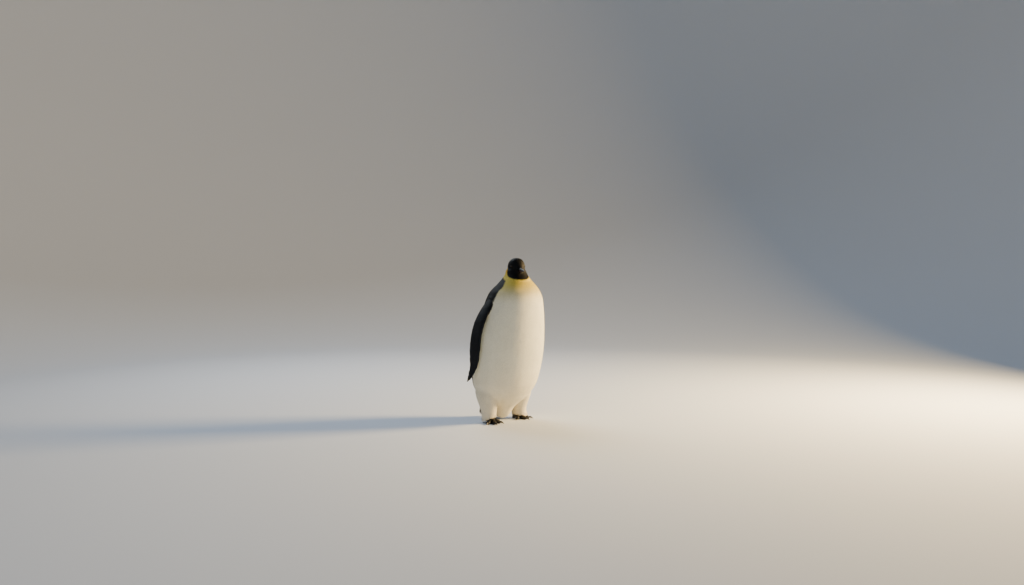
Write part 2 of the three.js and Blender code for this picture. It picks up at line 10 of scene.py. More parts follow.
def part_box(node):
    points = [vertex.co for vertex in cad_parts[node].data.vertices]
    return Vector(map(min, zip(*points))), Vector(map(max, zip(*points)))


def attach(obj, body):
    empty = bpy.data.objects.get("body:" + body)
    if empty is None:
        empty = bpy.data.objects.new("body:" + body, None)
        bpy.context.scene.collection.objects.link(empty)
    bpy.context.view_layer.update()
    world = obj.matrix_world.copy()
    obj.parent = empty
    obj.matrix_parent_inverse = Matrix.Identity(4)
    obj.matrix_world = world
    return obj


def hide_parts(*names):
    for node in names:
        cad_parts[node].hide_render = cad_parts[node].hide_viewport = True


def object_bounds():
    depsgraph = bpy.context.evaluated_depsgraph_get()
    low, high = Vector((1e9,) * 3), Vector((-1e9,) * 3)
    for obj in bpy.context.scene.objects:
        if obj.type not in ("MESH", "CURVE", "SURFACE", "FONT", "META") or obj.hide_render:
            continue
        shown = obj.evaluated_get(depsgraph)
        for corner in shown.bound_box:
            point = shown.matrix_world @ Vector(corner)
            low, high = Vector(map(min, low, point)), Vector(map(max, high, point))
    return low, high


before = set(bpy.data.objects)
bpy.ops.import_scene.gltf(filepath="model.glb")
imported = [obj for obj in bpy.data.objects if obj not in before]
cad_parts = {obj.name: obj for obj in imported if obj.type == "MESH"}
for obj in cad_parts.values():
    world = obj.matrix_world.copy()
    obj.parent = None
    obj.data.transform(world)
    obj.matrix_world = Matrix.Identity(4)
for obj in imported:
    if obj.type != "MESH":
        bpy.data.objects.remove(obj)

cad_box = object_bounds()

# ---------------------------------------------------------------- studio and camera
# A pale seamless floor that curves up into a wall all round. A warm lamp stands low on the bird's
# left, with weaker cool ones ahead and behind. The camera looks from ahead and to the bird's right,
# level with its crown.

FLOOR_REACH = 9.0
WALL_RISE = 5.0
CURVE_STEPS = 24
ROUND_STEPS = 96
FLOOR_COLOR = (0.60, 0.65, 0.74, 1)
FLOOR_SHADE = (0.582, 0.631, 0.718, 1)
WORLD_COLOR = (0.74, 0.86, 1.0, 1)
WORLD_STRENGTH = 0.23
CAMERA_DISTANCE = 6.185
CAMERA_SIDEWAYS = 0.018
CAMERA_HEIGHT = 1.055
CAMERA_AZIMUTH = math.radians(-40)
CAMERA_PITCH = math.radians(-2.63)
CAMERA_LENS = 36.42


def linked(object_data, name):
    """A new object for a mesh, lamp or camera, linked to the scene."""
    made = bpy.data.objects.new(name, object_data)
    bpy.context.scene.collection.objects.link(made)
    return made


def socket_of(sockets, name):
    """A socket by its number, or the one in use by its name."""
    if isinstance(name, int):
        return sockets[name]
    return next(socket for socket in sockets if socket.enabled and socket.name == name)


def add_node(tree, kind, inputs=(), **settings):
    """A node with its settings, and its inputs by name or number set to a value or linked to an output."""
    node = tree.nodes.new(kind)
    for name, value in settings.items():
        setattr(node, name, value)
    for name, value in dict(inputs).items():
        if isinstance(value, bpy.types.NodeSocket):
            tree.links.new(value, socket_of(node.inputs, name))
        else:
            socket_of(node.inputs, name).default_value = value
    return node


def finish_of(name, roughness, **fixed):
    """A new material with its tree and its Principled shader, whose plain values are set on its sockets."""
    material = bpy.data.materials.new(name)
    material.use_nodes = True
    shader = material.node_tree.nodes["Principled BSDF"]
    shader.inputs["Roughness"].default_value = roughness
    for socket, value in fixed.items():
        shader.inputs[socket.replace("_", " ")].default_value = value
    return material, material.node_tree, shader


def studio_floor():
    """The floor, level for half its reach, and the wall that it curves up into."""
    flat = FLOOR_REACH / 2
    profile = [(0.0, 0.0), (flat, 0.0)]
    for step in range(CURVE_STEPS + 1):
        turn = math.pi / 2 * step / CURVE_STEPS
        profile.append((flat * (1 + math.sin(turn)), WALL_RISE * (1 - math.cos(turn))))
    points = [(0, 0, 0)]
    for reach, rise in profile[1:]:
        for step in range(ROUND_STEPS):
            turn = 2 * math.pi * step / ROUND_STEPS
            points.append((reach * math.cos(turn), reach * math.sin(turn), rise))
    faces = [(0, 1 + step, 1 + (step + 1) % ROUND_STEPS) for step in range(ROUND_STEPS)]
    for ring in range(len(profile) - 2):
        low, high = 1 + ring * ROUND_STEPS, 1 + (ring + 1) * ROUND_STEPS
        for step in range(ROUND_STEPS):
            after = (step + 1) % ROUND_STEPS
            faces.append((low + step, high + step, high + after, low + after))
    mesh = bpy.data.meshes.new("studio_floor")
    mesh.from_pydata(points, [], faces)
    mesh.shade_smooth()
    material, tree, shader = finish_of("studio_floor", 0.85, Specular_IOR_Level=0.2)
    grain = add_node(tree, "ShaderNodeTexNoise", {"Scale": 3.0, "Detail": 4.0})
    shade = add_node(tree, "ShaderNodeMix", {6: FLOOR_COLOR, 7: FLOOR_SHADE}, data_type="RGBA")
    tree.links.new(grain.outputs["Fac"], shade.inputs["Factor"])
    tree.links.new(shade.outputs[2], shader.inputs["Base Color"])
    mesh.materials.append(material)
    floor = linked(mesh, "studio_floor")


def soft_lamp(name, azimuth, elevation, distance, size, power, color):
    """A square lamp that looks at the middle of the bird from a given side and height, in degrees."""
    lamp = bpy.data.lights.new(name, "AREA")
    lamp.shape = "SQUARE"
    lamp.size = size
    lamp.energy = power
    lamp.color = color
    made = linked(lamp, name)
    aim = (cad_box[0] + cad_box[1]) / 2
    turn, rise = math.radians(azimuth), math.radians(elevation)
    away = Vector((math.sin(turn) * math.cos(rise), -math.cos(turn) * math.cos(rise), math.sin(rise)))
    made.location = aim + away * distance
    made.rotation_mode = "QUATERNION"
    made.rotation_quaternion = away.to_track_quat("Z", "Y")


studio_floor()
soft_lamp("key_lamp", azimuth=59, elevation=19, distance=4.2, size=1.1, power=730, color=(1.0, 0.70, 0.32))
soft_lamp("fill_lamp", azimuth=-62, elevation=32, distance=4.5, size=3.0, power=16, color=(0.62, 0.80, 1.0))
soft_lamp("back_lamp", azimuth=170, elevation=48, distance=4.5, size=2.6, power=140, color=(0.85, 0.93, 1.0))

world = bpy.data.worlds.new("studio")
world.use_nodes = True
world.node_tree.nodes["Background"].inputs["Color"].default_value = WORLD_COLOR
world.node_tree.nodes["Background"].inputs["Strength"].default_value = WORLD_STRENGTH
bpy.context.scene.world = world

look = Vector((-math.sin(CAMERA_AZIMUTH), math.cos(CAMERA_AZIMUTH), 0))
rightward = Vector((look.y, -look.x, 0))
lens = bpy.data.cameras.new("camera")
lens.lens = CAMERA_LENS
camera = linked(lens, "camera")
camera.location = -look * CAMERA_DISTANCE + rightward * CAMERA_SIDEWAYS + Vector((0, 0, CAMERA_HEIGHT))
camera.rotation_euler = (math.pi / 2 + CAMERA_PITCH, 0, CAMERA_AZIMUTH)
bpy.context.scene.camera = camera

# ---------------------------------------------------------------- skin
# One seamless skin lies under the whole coat, from the bill's root to the ankles and the flippers' tips.
# It is grown from the solids of flesh, smoothed, and then sunk by the depth of the coat that covers it.

FLESH = ("head", "neck", "trunk", "flipper_right", "flipper_left", "leg_right", "leg_left")
EYES = ("eye_right", "eye_left")
SKIN_VOXEL, SKIN_PASSES = 0.0042, 9
EASE, REGAIN = 0.5, 0.53
JOINING_SWELL = 0.0006
FLIPPER_CLEAR, FLIPPER_INWARD = 0.0008, 0.2
# The coat's depth, and its feathers' length and width, on each part.
COAT_SIZES = {
    "head": (0.0022, 0.0080, 0.0021),
    "neck": (0.0040, 0.0180, 0.0040),
    "trunk": (0.0060, 0.0280, 0.0058),
    "flipper": (0.0010, 0.0056, 0.0023),
    "leg": (0.0036, 0.0160, 0.0040),
}


def merged_arrays(names, swell=0.0):
    """Points and triangles of some CAD nodes together, and the node that each triangle is of.

    Each node's loose triangles are joined. With a swell, it grows a little all round, so that it
    meets the next, but the flippers' inner faces are drawn back, to stay clear of the flanks.
    """
    points, faces, owners = [], [], []
    for name in names:
        work = bmesh.new()
        work.from_mesh(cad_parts[name].data)
        bmesh.ops.remove_doubles(work, verts=work.verts, dist=1e-6)
        work.normal_update()
        first = len(points)
        for v in work.verts:
            inner = name.startswith("flipper") and v.normal.x * np.sign(v.co.x) < -FLIPPER_INWARD
            points.append(v.co + v.normal * (-FLIPPER_CLEAR if inner and swell else swell))
        faces += [[first + v.index for v in f.verts] for f in work.faces]
        owners += [name] * len(work.faces)
        work.free()
    return points, faces, owners


def mesh_of(name, points, faces):
    """A new mesh with these points and faces."""
    mesh = bpy.data.meshes.new(name)
    mesh.from_pydata([tuple(p) for p in points], [], [list(map(int, f)) for f in faces])
    mesh.update()
    return mesh


def applied(mesh, kind, **settings):
    """The mesh that one modifier makes of a mesh."""
    carrier = linked(mesh, "carrier")
    modifier = carrier.modifiers.new("step", kind)
    for name, value in settings.items():
        setattr(modifier, name, value)
    done = bpy.data.meshes.new_from_object(carrier.evaluated_get(bpy.context.evaluated_depsgraph_get()))
    bpy.data.objects.remove(carrier)
    return done


def read(data, name, width, kind=np.float64):
    """One value of every member of a mesh's data, as a table this many columns wide."""
    values = np.empty(len(data) * width, kind)
    data.foreach_get(name, values)
    return values.reshape(-1, width) if width > 1 else values


def points_of(mesh):
    """A mesh's points, one to a row."""
    return read(mesh.vertices, "co", 3)


def normals_of(mesh):
    """The direction out of the surface at each of a mesh's points."""
    return read(mesh.vertices, "normal", 3)


def move_points(mesh, points):
    """Gives a mesh's points new places."""
    mesh.vertices.foreach_set("co", np.asarray(points, np.float32).ravel())
    mesh.update()


def neighbour_mean(edges, values):
    """Each point's mean of its neighbours' values."""
    ends = np.concatenate([edges[:, 0], edges[:, 1]])
    others = np.concatenate([edges[:, 1], edges[:, 0]])
    share = np.maximum(np.bincount(ends, minlength=len(values)), 1)
    sums = [np.bincount(ends, weights=column[others], minlength=len(values)) for column in values.T]
    return np.stack(sums, 1) / share[:, None]


def relaxed(mesh, points, passes, regain=REGAIN):
    """Points smoothed without losing volume: each pass eases them in and then back out."""
    edges = read(mesh.edges, "vertices", 2, np.int32)
    for _ in range(passes):
        for ease in (EASE, -regain):
            points = points + ease * (neighbour_mean(edges, points) - points)
    return points


def spread(mesh, values, passes):
    """Values that change over the skin, eased across the places where one part meets the next."""
    edges = read(mesh.edges, "vertices", 2, np.int32)
    for _ in range(passes):
        values = 0.5 * values + 0.5 * neighbour_mean(edges, values)
    return values


def unit(vectors):
    """Vectors with their directions kept and a length of one."""
    return vectors / np.maximum(np.linalg.norm(vectors, axis=-1, keepdims=True), 1e-9)


def blend_over(value, low, high):
    """0 below low, 1 above high, with a soft start and end."""
    share = np.clip((value - low) / (high - low), 0, 1)
    return share * share * (3 - 2 * share)


def outer_shell(mesh):
    """The mesh without the small closed bubbles that the remesh leaves where two solids meet."""
    work = bmesh.new()
    work.from_mesh(mesh)
    crown = max(work.verts, key=lambda v: v.co.z)
    kept, edge_of_kept = {crown}, [crown]
    while edge_of_kept:
        for edge in edge_of_kept.pop().link_edges:
            for vert in edge.verts:
                if vert not in kept:
                    kept.add(vert)
                    edge_of_kept.append(vert)
    bmesh.ops.delete(work, geom=[v for v in work.verts if v not in kept], context="VERTS")
    work.to_mesh(mesh)
    work.free()
    return mesh


swollen_points, swollen_faces, _ = merged_arrays(FLESH + EYES, JOINING_SWELL)
skin_mesh = outer_shell(applied(mesh_of("flesh", swollen_points, swollen_faces), "REMESH",
                                mode="VOXEL", voxel_size=SKIN_VOXEL))
skin_mesh.name = "skin"
surface = relaxed(skin_mesh, points_of(skin_mesh), SKIN_PASSES)

flesh_points, flesh_faces, flesh_owners = merged_arrays(FLESH)
flesh_tree = BVHTree.FromPolygons(flesh_points, flesh_faces)
owner_of = np.array([flesh_owners[flesh_tree.find_nearest(Vector(p))[2]] for p in surface])

# The hem of each leg's down is a sloping plane, and points of the leg are measured up from it.
HEM_BAND = 0.012
HEM_FACING, BARE_FACING = -0.8, -0.75
hem_rise = np.full(len(surface), 1.0)
facing_down = normals_of(skin_mesh)[:, 2] < HEM_FACING
for side in ("right", "left"):
    own = owner_of == "leg_" + side
    under = own & facing_down
    floor_plan = surface * (1, 1, 0) + (0, 0, 1)
    slant = np.linalg.lstsq(floor_plan[under], surface[under, 2], rcond=None)[0]
    hem_rise[own] = surface[own, 2] - floor_plan[own] @ slant

# The long curves of the neck and trunk run through with no flat between them.
BODY_PASSES, BODY_EDGE = 70, 10
body_mask = spread(skin_mesh, np.isin(owner_of, ("neck", "trunk")).astype(float)[:, None], BODY_EDGE) ** 2
eased = spread(skin_mesh, surface, BODY_PASSES) - surface
surface = surface + body_mask * (eased - spread(skin_mesh, eased, BODY_PASSES))

# One part of the body runs into the next in a soft hollow, and the hems are rounded.
JOIN_PASSES, JOIN_REACH, JOIN_GAIN, HEM_SHARE = 34, 26, 3.2, 0.6
ends = read(skin_mesh.edges, "vertices", 2, np.int32)
join_mask = np.zeros((len(surface), 1))
join_mask[ends[owner_of[ends[:, 0]] != owner_of[ends[:, 1]]].ravel()] = 1
join_mask[hem_rise < HEM_BAND / 2] = HEM_SHARE
join_mask = np.clip(spread(skin_mesh, join_mask, JOIN_REACH) * JOIN_GAIN, 0, 1)
surface = surface + join_mask * (spread(skin_mesh, surface, JOIN_PASSES) - surface)
move_points(skin_mesh, surface)
outward = normals_of(skin_mesh)

# The brow stands out over each eye, and the skin is a little hollow below it.
LID_REACH = 0.0086
BROW_REACH, BROW_WIDTH, BROW_RISE = 0.0145, 0.0035, 0.0013
BROW_BLEND, BROW_HOLLOW = 0.01, -0.6
eye_middles = {name: np.mean([tuple(corner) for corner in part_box(name)], axis=0) for name in EYES}
from_eye = np.min([np.linalg.norm(surface - middle, axis=1) for middle in eye_middles.values()], axis=0)
eye_height = np.mean([middle[2] for middle in eye_middles.values()])
brow = np.exp(-(((from_eye - BROW_REACH) / BROW_WIDTH) ** 2))
brow = brow * np.clip((surface[:, 2] - eye_height) / BROW_BLEND, BROW_HOLLOW, 1)
surface = surface + outward * (brow * BROW_RISE)[:, None]
move_points(skin_mesh, surface)
outward = normals_of(skin_mesh)

# The coat grows thinner and shorter towards the eyes and the bill, where the skin comes up to meet them.
SIZE_PASSES = 25
EYE_LENGTH, EYE_FAR = 0.42, 0.026
BILL_SIZE, BILL_NEAR, BILL_FAR = 0.4, 0.016, 0.055
FACE_FULL, FACE_NEAR, FACE_FAR = 0.0011, 0.018, 0.040
coat_sizes = np.array([COAT_SIZES[name.split("_")[0]] for name in owner_of])
coat_sizes = spread(skin_mesh, coat_sizes, SIZE_PASSES)
coat_sizes[:, 1] *= EYE_LENGTH + (1 - EYE_LENGTH) * blend_over(from_eye, LID_REACH, EYE_FAR)
plate_corners = [tuple(corner) for side in ("right", "left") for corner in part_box("bill_plate_" + side)]
bill_root = np.mean(plate_corners, axis=0)
from_bill = np.linalg.norm(surface - bill_root, axis=1)
coat_sizes *= (BILL_SIZE + (1 - BILL_SIZE) * blend_over(from_bill, BILL_NEAR, BILL_FAR))[:, None]
surface = surface + outward * (FACE_FULL * (1 - blend_over(from_bill, FACE_NEAR, FACE_FAR)))[:, None]
move_points(skin_mesh, surface)


class Flipper:
    """Where points lie on a flipper: along it, across its blade, and on which face of it."""

    STEP = 0.015

    def __init__(self, name):
        """Measures the flipper level by level: its middle, the way of its blade, half width and side."""
        own = surface[owner_of == name]
        self.top, self.tip = own[:, 2].max(), own[:, 2].min()
        self.levels = np.arange(self.tip + self.STEP, self.top - self.STEP, self.STEP)
        rows = []
        for level in self.levels:
            ring = own[np.abs(own[:, 2] - level) < self.STEP][:, :2]
            way = np.linalg.eigh(np.cov((ring - ring.mean(0)).T))[1][:, 1]
            way = way * np.sign(way[1])
            reach = ring @ way
            side = np.array([-way[1], way[0]])
            side = side * np.sign(side @ ring.mean(0))
            depth = ring @ side
            middle = way * (reach.max() + reach.min()) / 2 + side * (depth.max() + depth.min()) / 2
            rows.append([*middle, *way, (reach.max() - reach.min()) / 2, *side])
        self.rows = np.array(rows)

    def at(self, points):
        """Share of the way to the tip, share of the half blade towards its hind edge, and distance out."""
        row = np.stack([np.interp(points[:, 2], self.levels, column) for column in self.rows.T], 1)
        from_middle = points[:, :2] - row[:, :2]
        along = (self.top - points[:, 2]) / (self.top - self.tip)
        across = (from_middle * row[:, 2:4]).sum(1) / row[:, 4]
        return along, across, (from_middle * row[:, 5:7]).sum(1)

    def side_at(self, points):
        """The direction square to the blade, away from the body."""
        return np.stack([np.interp(points[:, 2], self.levels, column) for column in self.rows[:, 5:7].T], 1)

    def way_at(self, points):
        """The direction along the flipper's middle line, towards its tip."""
        low, high = points[:, 2] - self.STEP, points[:, 2] + self.STEP
        ends = [np.stack([np.interp(z, self.levels, column) for column in self.rows[:, :2].T] + [z], 1)
                for z in (high, low)]
        return unit(ends[1] - ends[0])


flippers = {name: Flipper(name) for name in ("flipper_right", "flipper_left")}

AXIS_STEP = 0.02
trunk_line = surface[np.isin(owner_of, ("head", "neck", "trunk"))]
axis_levels = np.arange(trunk_line[:, 2].min() + AXIS_STEP, trunk_line[:, 2].max(), AXIS_STEP)
axis_rings = [trunk_line[np.abs(trunk_line[:, 2] - level) < AXIS_STEP] for level in axis_levels]
axis_middles = np.array([(ring.max(0) + ring.min(0)) / 2 for ring in axis_rings])


def azimuth_of(points):
    """The angle of each point round the body's own axis: 0 ahead, positive on the bird's left."""
    across = points[:, 0] - np.interp(points[:, 2], axis_levels, axis_middles[:, 0])
    behind = points[:, 1] - np.interp(points[:, 2], axis_levels, axis_middles[:, 1])
    return np.arctan2(across, -behind)


# The lie of the coat: back from the bill's root over the head, down the body, and along flippers and legs.
head_low, head_high = (np.array(corner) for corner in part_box("head"))
head_middle = (head_low + head_high) / 2
BODY_LIE, LEG_LIE = (0.0, 0.22, -1.0), (0.0, 0.05, -1.0)
CHIN_LIE, CHIN_FROM, CHIN_TO = (0.0, 0.0, -1.5), 0.004, 0.03
LIE_PASSES = 14

lie = np.tile(BODY_LIE, (len(surface), 1))
on_head = owner_of == "head"
chin = blend_over(bill_root[2] - surface[on_head, 2], CHIN_FROM, CHIN_TO)
lie[on_head] = unit(surface[on_head] - bill_root) + np.outer(chin, CHIN_LIE)
for name, flipper in flippers.items():
    lie[owner_of == name] = flipper.way_at(surface[owner_of == name])
for side in ("right", "left"):
    lie[owner_of == "leg_" + side] = LEG_LIE
lie = spread(skin_mesh, unit(lie), LIE_PASSES)


def along_skin(ways):
    """Directions laid flat on the skin."""
    return unit(ways - outward * (ways * outward).sum(1, keepdims=True))


# It parts round the eyes and wavers a little over the body.
COAT_SEED = 7
DRIFT, DRIFT_PASSES = 0.16, 60
EYE_CLEARANCE, EYE_PARTING, EYE_GAP = 0.024, 1.4, 0.6
drift = spread(skin_mesh, np.random.default_rng(COAT_SEED).normal(size=lie.shape), DRIFT_PASSES)
lie = along_skin(lie + DRIFT * drift / drift.std())
aside = np.zeros_like(lie)
for middle in eye_middles.values():
    near = np.linalg.norm(surface - middle, axis=1) < EYE_CLEARANCE
    aside[near] = (surface - middle)[near]
aside = along_skin(aside) * (from_eye < EYE_CLEARANCE)[:, None]
facing_eye = np.clip(-(aside * lie).sum(1), 0, 1)
aside = aside + lie * facing_eye[:, None]
lie = along_skin(lie + EYE_PARTING * aside * (1 - blend_over(from_eye, LID_REACH, EYE_CLEARANCE))[:, None])
bare = from_eye < LID_REACH + EYE_GAP * facing_eye * coat_sizes[:, 1]
bare |= (hem_rise < HEM_BAND) & (outward[:, 2] < BARE_FACING)

# Over the root of the tail the coat stands off the rump, and lies along the tail in a fan.
TAIL_ROOT_IN, TAIL_ROOT_UP = 0.009, 0.012
TAIL_TIP_IN, TAIL_TIP_UP = 0.010, 0.001
RUMP_UP, RUMP_DOWN, RUMP_HALF, RUMP_IN = 0.045, 0.030, 0.062, 0.02
RUMP_FAN, RUMP_LONGER = 0.3, 0.35
tail_low, tail_high = (np.array(corner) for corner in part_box("tail"))
tail_root = np.array([(tail_low[0] + tail_high[0]) / 2, tail_low[1] + TAIL_ROOT_IN,
                      tail_high[2] + TAIL_ROOT_UP])
tail_end = np.array([tail_root[0], tail_high[1] - TAIL_TIP_IN, TAIL_TIP_UP])
tail_way = unit(tail_end - tail_root)
tail_back = np.array([0.0, -tail_way[2], tail_way[1]])
over_root, beside_root = surface[:, 2] - tail_root[2], surface[:, 0] - tail_root[0]
rump = (blend_over(over_root, -RUMP_DOWN, -0.4 * RUMP_DOWN)
        * (1 - blend_over(over_root, 0.4 * RUMP_UP, RUMP_UP))
        * (1 - blend_over(np.abs(beside_root), 0.6 * RUMP_HALF, RUMP_HALF))
        * (surface[:, 1] > tail_low[1] - RUMP_IN))
fanned = unit(tail_way + np.outer(beside_root / RUMP_HALF * RUMP_FAN, (1, 0, 0)))

# At the hem of each leg it hangs straight down and free, and ends clear of the floor.
HANG_FROM, HANG_TO = 0.8 * HEM_BAND, 2.6 * HEM_BAND
HANG_OUT, HANG_LEAST = 0.22, 0.01
FLOOR_ROOM, SHORTEST = 0.0015, 0.004
hang = 1 - blend_over(hem_rise, HANG_FROM, HANG_TO)
level = unit(outward * (1, 1, 0))
outward_laid = unit(outward + (level - outward) * hang[:, None])
outward_laid = unit(outward_laid + (tail_back - outward_laid) * rump[:, None])
lie = unit(lie + (fanned - lie) * rump[:, None])
coat_sizes[:, 1] *= 1 + RUMP_LONGER * rump
hanging = hang > HANG_LEAST
lie[hanging] = unit(lie[hanging] * (1 - hang[hanging, None])
                    + (level[hanging] * HANG_OUT - (0, 0, 1)) * hang[hanging, None])
hang = np.maximum(hang, rump)
reach_down = (surface[:, 2] - FLOOR_ROOM) / np.maximum(-lie[:, 2], 0.2)
coat_sizes[hanging, 1] = np.minimum(coat_sizes[hanging, 1], np.maximum(reach_down[hanging], SHORTEST))

# The markings, in linear light, as heights and turns round the body. The skin and every feather share them.
BLACK = (0.0022, 0.0022, 0.0026)
NAVY = (0.0050, 0.0062, 0.0092)
SLATE = (0.066, 0.078, 0.094)
WHITE = (0.84, 0.81, 0.66)
CREAM = (0.80, 0.71, 0.54)
LEMON = (0.58, 0.44, 0.022)
GOLD = (0.60, 0.34, 0.012)
NECK_TWIST = math.radians(-21)
NECK_TWIST_FROM, NECK_TWIST_TO = 0.80, 0.87
HOOD_TURNS = (0, 25, 50, 73, 88, 100, 116, 135)
HOOD_EDGE = (0.848, 0.853, 0.862, 0.877, 0.900, 0.914, 0.920, 0.912)
BACK_LEVELS = (0.05, 0.15, 0.30, 0.45, 0.58, 0.71, 0.76, 0.79, 0.815, 0.843, 0.856, 0.868, 0.88, 0.90, 0.925)
BACK_EDGE = (128, 121, 114, 107, 95, 85, 83, 82, 75, 69, 88, 117, 131, 138, 118)
BAND_LEVELS = (0.10, 0.30, 0.50, 0.62, 0.72, 0.80, 0.86)
BAND_WIDTH = (8, 9, 14, 26, 42, 56, 78)
NAPE_FROM, NAPE_TO = 0.785, 0.865
SLATE_FROM, SLATE_TO = 0.07, 0.17
BELLY_FROM, BELLY_TO, BELLY_CREAM = 0.06, 0.42, 0.75
BREAST_FROM, BREAST_TO, BREAST_LEMON, BREAST_POWER = 0.69, 0.838, 0.92, 1.35
EAR_FROM, EAR_TO, EAR_TURN_FROM, EAR_TURN_TO, EAR_GOLD = 0.866, 0.905, 60, 86, 0.85
HOOD_SOFT, BACK_SOFT = 0.0015, 1.5


def mixed(first, second, share):
    """Colours part of the way from the first to the second."""
    return first + (np.array(second) - first) * share[:, None]


def tones_at(points, owners, facing):
    """Colour of the coat at each point, with the share of dark plumage as a fourth value."""
    height = points[:, 2]
    twist = NECK_TWIST * blend_over(height, NECK_TWIST_FROM, NECK_TWIST_TO)
    turn = np.degrees(azimuth_of(points) - twist)
    turn = np.abs((turn + 180) % 360 - 180)
    hood = blend_over(height - np.interp(turn, HOOD_TURNS, HOOD_EDGE), -HOOD_SOFT, HOOD_SOFT)
    past_edge = turn - np.interp(height, BACK_LEVELS, BACK_EDGE)
    back = blend_over(past_edge, -BACK_SOFT, BACK_SOFT)
    slate = blend_over(past_edge - np.interp(height, BAND_LEVELS, BAND_WIDTH), -2 * BACK_SOFT, 5)
    slate = slate * (1 - blend_over(height, NAPE_FROM, NAPE_TO)) * blend_over(height, SLATE_FROM, SLATE_TO)
    low_belly = 1 - blend_over(height, BELLY_FROM, BELLY_TO)
    lemon = blend_over(height, BREAST_FROM, BREAST_TO) ** BREAST_POWER
    gold = blend_over(height, EAR_FROM, EAR_TO) * blend_over(turn, EAR_TURN_FROM, EAR_TURN_TO)
    tone = np.tile(np.array(WHITE), (len(points), 1))
    tone = mixed(tone, CREAM, BELLY_CREAM * low_belly)
    tone = mixed(tone, LEMON, BREAST_LEMON * lemon)
    tone = mixed(tone, GOLD, EAR_GOLD * gold)
    pale = tone
    dark = mixed(np.tile(np.array(BLACK), (len(points), 1)), SLATE, slate)
    tone = tone + (dark - tone) * back[:, None]
    tone = mixed(tone, BLACK, hood)
    share = np.maximum(back, hood)
    for name, flipper in flippers.items():
        own = owners == name
        along, across, _ = flipper.at(points[own])
        outside = (facing[own, :2] * flipper.side_at(points[own])).sum(1)
        outer = blend_over(outside + 0.5 * (1 - blend_over(along, 0.06, 0.2)), -0.25, 0.0)
        margin = blend_over(-across, 0.80, 0.90) + blend_over(across, 0.84, 0.91)
        outer = np.clip(outer + margin + blend_over(along, 0.93, 0.97), 0, 1)
        shoulder = 0.16 * blend_over(along, 0.04, 0.2) * (1 - blend_over(along, 0.2, 0.6))
        blade = mixed(np.tile(np.array(BLACK), (own.sum(), 1)), NAVY, blend_over(along, 0.05, 0.2))
        blade = mixed(blade, SLATE, shoulder * (1 - blend_over(-across, 0.2, 0.8)))
        under = np.tile(np.array(WHITE), (own.sum(), 1))
        tone[own] = under + (blade - under) * outer[:, None]
        share[own] = outer
    for side in ("right", "left"):
        own = owners == "leg_" + side
        low, high = (np.array(corner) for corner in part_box("leg_" + side))
        behind = (points[own, 1] - low[1]) / (high[1] - low[1])
        heel = blend_over(behind, 0.72, 0.95) * (1 - blend_over(height[own], 0.05, 0.13))
        down = mixed(pale[own], CREAM, 0.5 * (1 - blend_over(height[own], 0.02, 0.16)))
        tone[own] = mixed(down, SLATE, heel)
        share[own] = heel
    return np.concatenate([tone, share[:, None]], 1)


# The skin is parted into charts, one for each piece of the coat, and each is unrolled by itself.
# Each has its node, the spacing of its feathers, the turn it is unrolled round and half its reach.
CHARTS = (
    ("coat_hood", "head", 0.0015, 0, 180),
    ("coat_neck", "neck", 0.0023, 0, 180),
    ("coat_breast", "trunk", 0.0027, 0, 62),
    ("coat_belly", "trunk", 0.0027, 0, 62),
    ("coat_flank_right", "trunk", 0.0027, -100, 40),
    ("coat_flank_left", "trunk", 0.0027, 100, 40),
    ("coat_back", "trunk", 0.0027, 180, 42),
    ("coat_flipper_right", "flipper_right", 0.0020, 0, 180),
    ("coat_flipper_left", "flipper_left", 0.0020, 0, 180),
    ("coat_leg_right", "leg_right", 0.0022, 0, 180),
    ("coat_leg_left", "leg_left", 0.0022, 0, 180),
)
BELLY_TOP = 0.43
TILES_ACROSS, TILES_UP = 4, 3
TIP_SHARE = 0.85


def chart_of(points, owners):
    """The number of the chart that each point belongs to."""
    turn = np.degrees(azimuth_of(points))
    found = np.zeros(len(points), int)
    for number, (piece, node, _, middle, reach) in enumerate(CHARTS):
        inside = owners == node
        if node == "trunk":
            inside &= np.abs((turn - middle + 180) % 360 - 180) <= reach
            if middle == 0:
                inside &= (points[:, 2] < BELLY_TOP) == (piece == "coat_belly")
        found[inside] = number
    return found


def ways_round(points, number):
    """Unrolled place of points on one chart, before it is scaled: the way round, and the way down."""
    _, node, _, middle, reach = CHARTS[number]
    if node.startswith("flipper"):
        along, across, out = flippers[node].at(points)
        return np.where(out > 0, across, 2 - across) * 0.25 + 0.25, along
    if node == "head":
        arm = points - head_middle
        turn = np.arctan2(arm[:, 0], -arm[:, 1])
        return turn / (2 * math.pi), np.arccos(np.clip(arm[:, 2] / np.linalg.norm(arm, axis=1), -1, 1))
    if node.startswith("leg"):
        low, high = (np.array(corner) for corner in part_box(node))
        arm = points - (low + high) / 2
        return np.arctan2(arm[:, 0], -arm[:, 1]) / (2 * math.pi), points[:, 2]
    turn = np.degrees(azimuth_of(points)) - middle
    return ((turn + 180) % 360 - 180) / (2 * reach), points[:, 2]


def unrolled(points, faces_of_corner, corner_points, chart_of_face, face_middles):
    """Each corner's place on its own chart, from 0 to 1 both ways, with no face torn at its seam."""
    place = np.zeros((len(corner_points), 2))
    for number in range(len(CHARTS)):
        own = chart_of_face[faces_of_corner] == number
        around, down = ways_round(points[corner_points[own]], number)
        middle_around = ways_round(face_middles[faces_of_corner[own]], number)[0]
        around = middle_around + (around - middle_around + 0.5) % 1 - 0.5
        for axis, values in enumerate((around, down)):
            low, high = values.min(), values.max()
            place[own, axis] = 0.01 + 0.98 * (values - low) / (high - low)
    return place


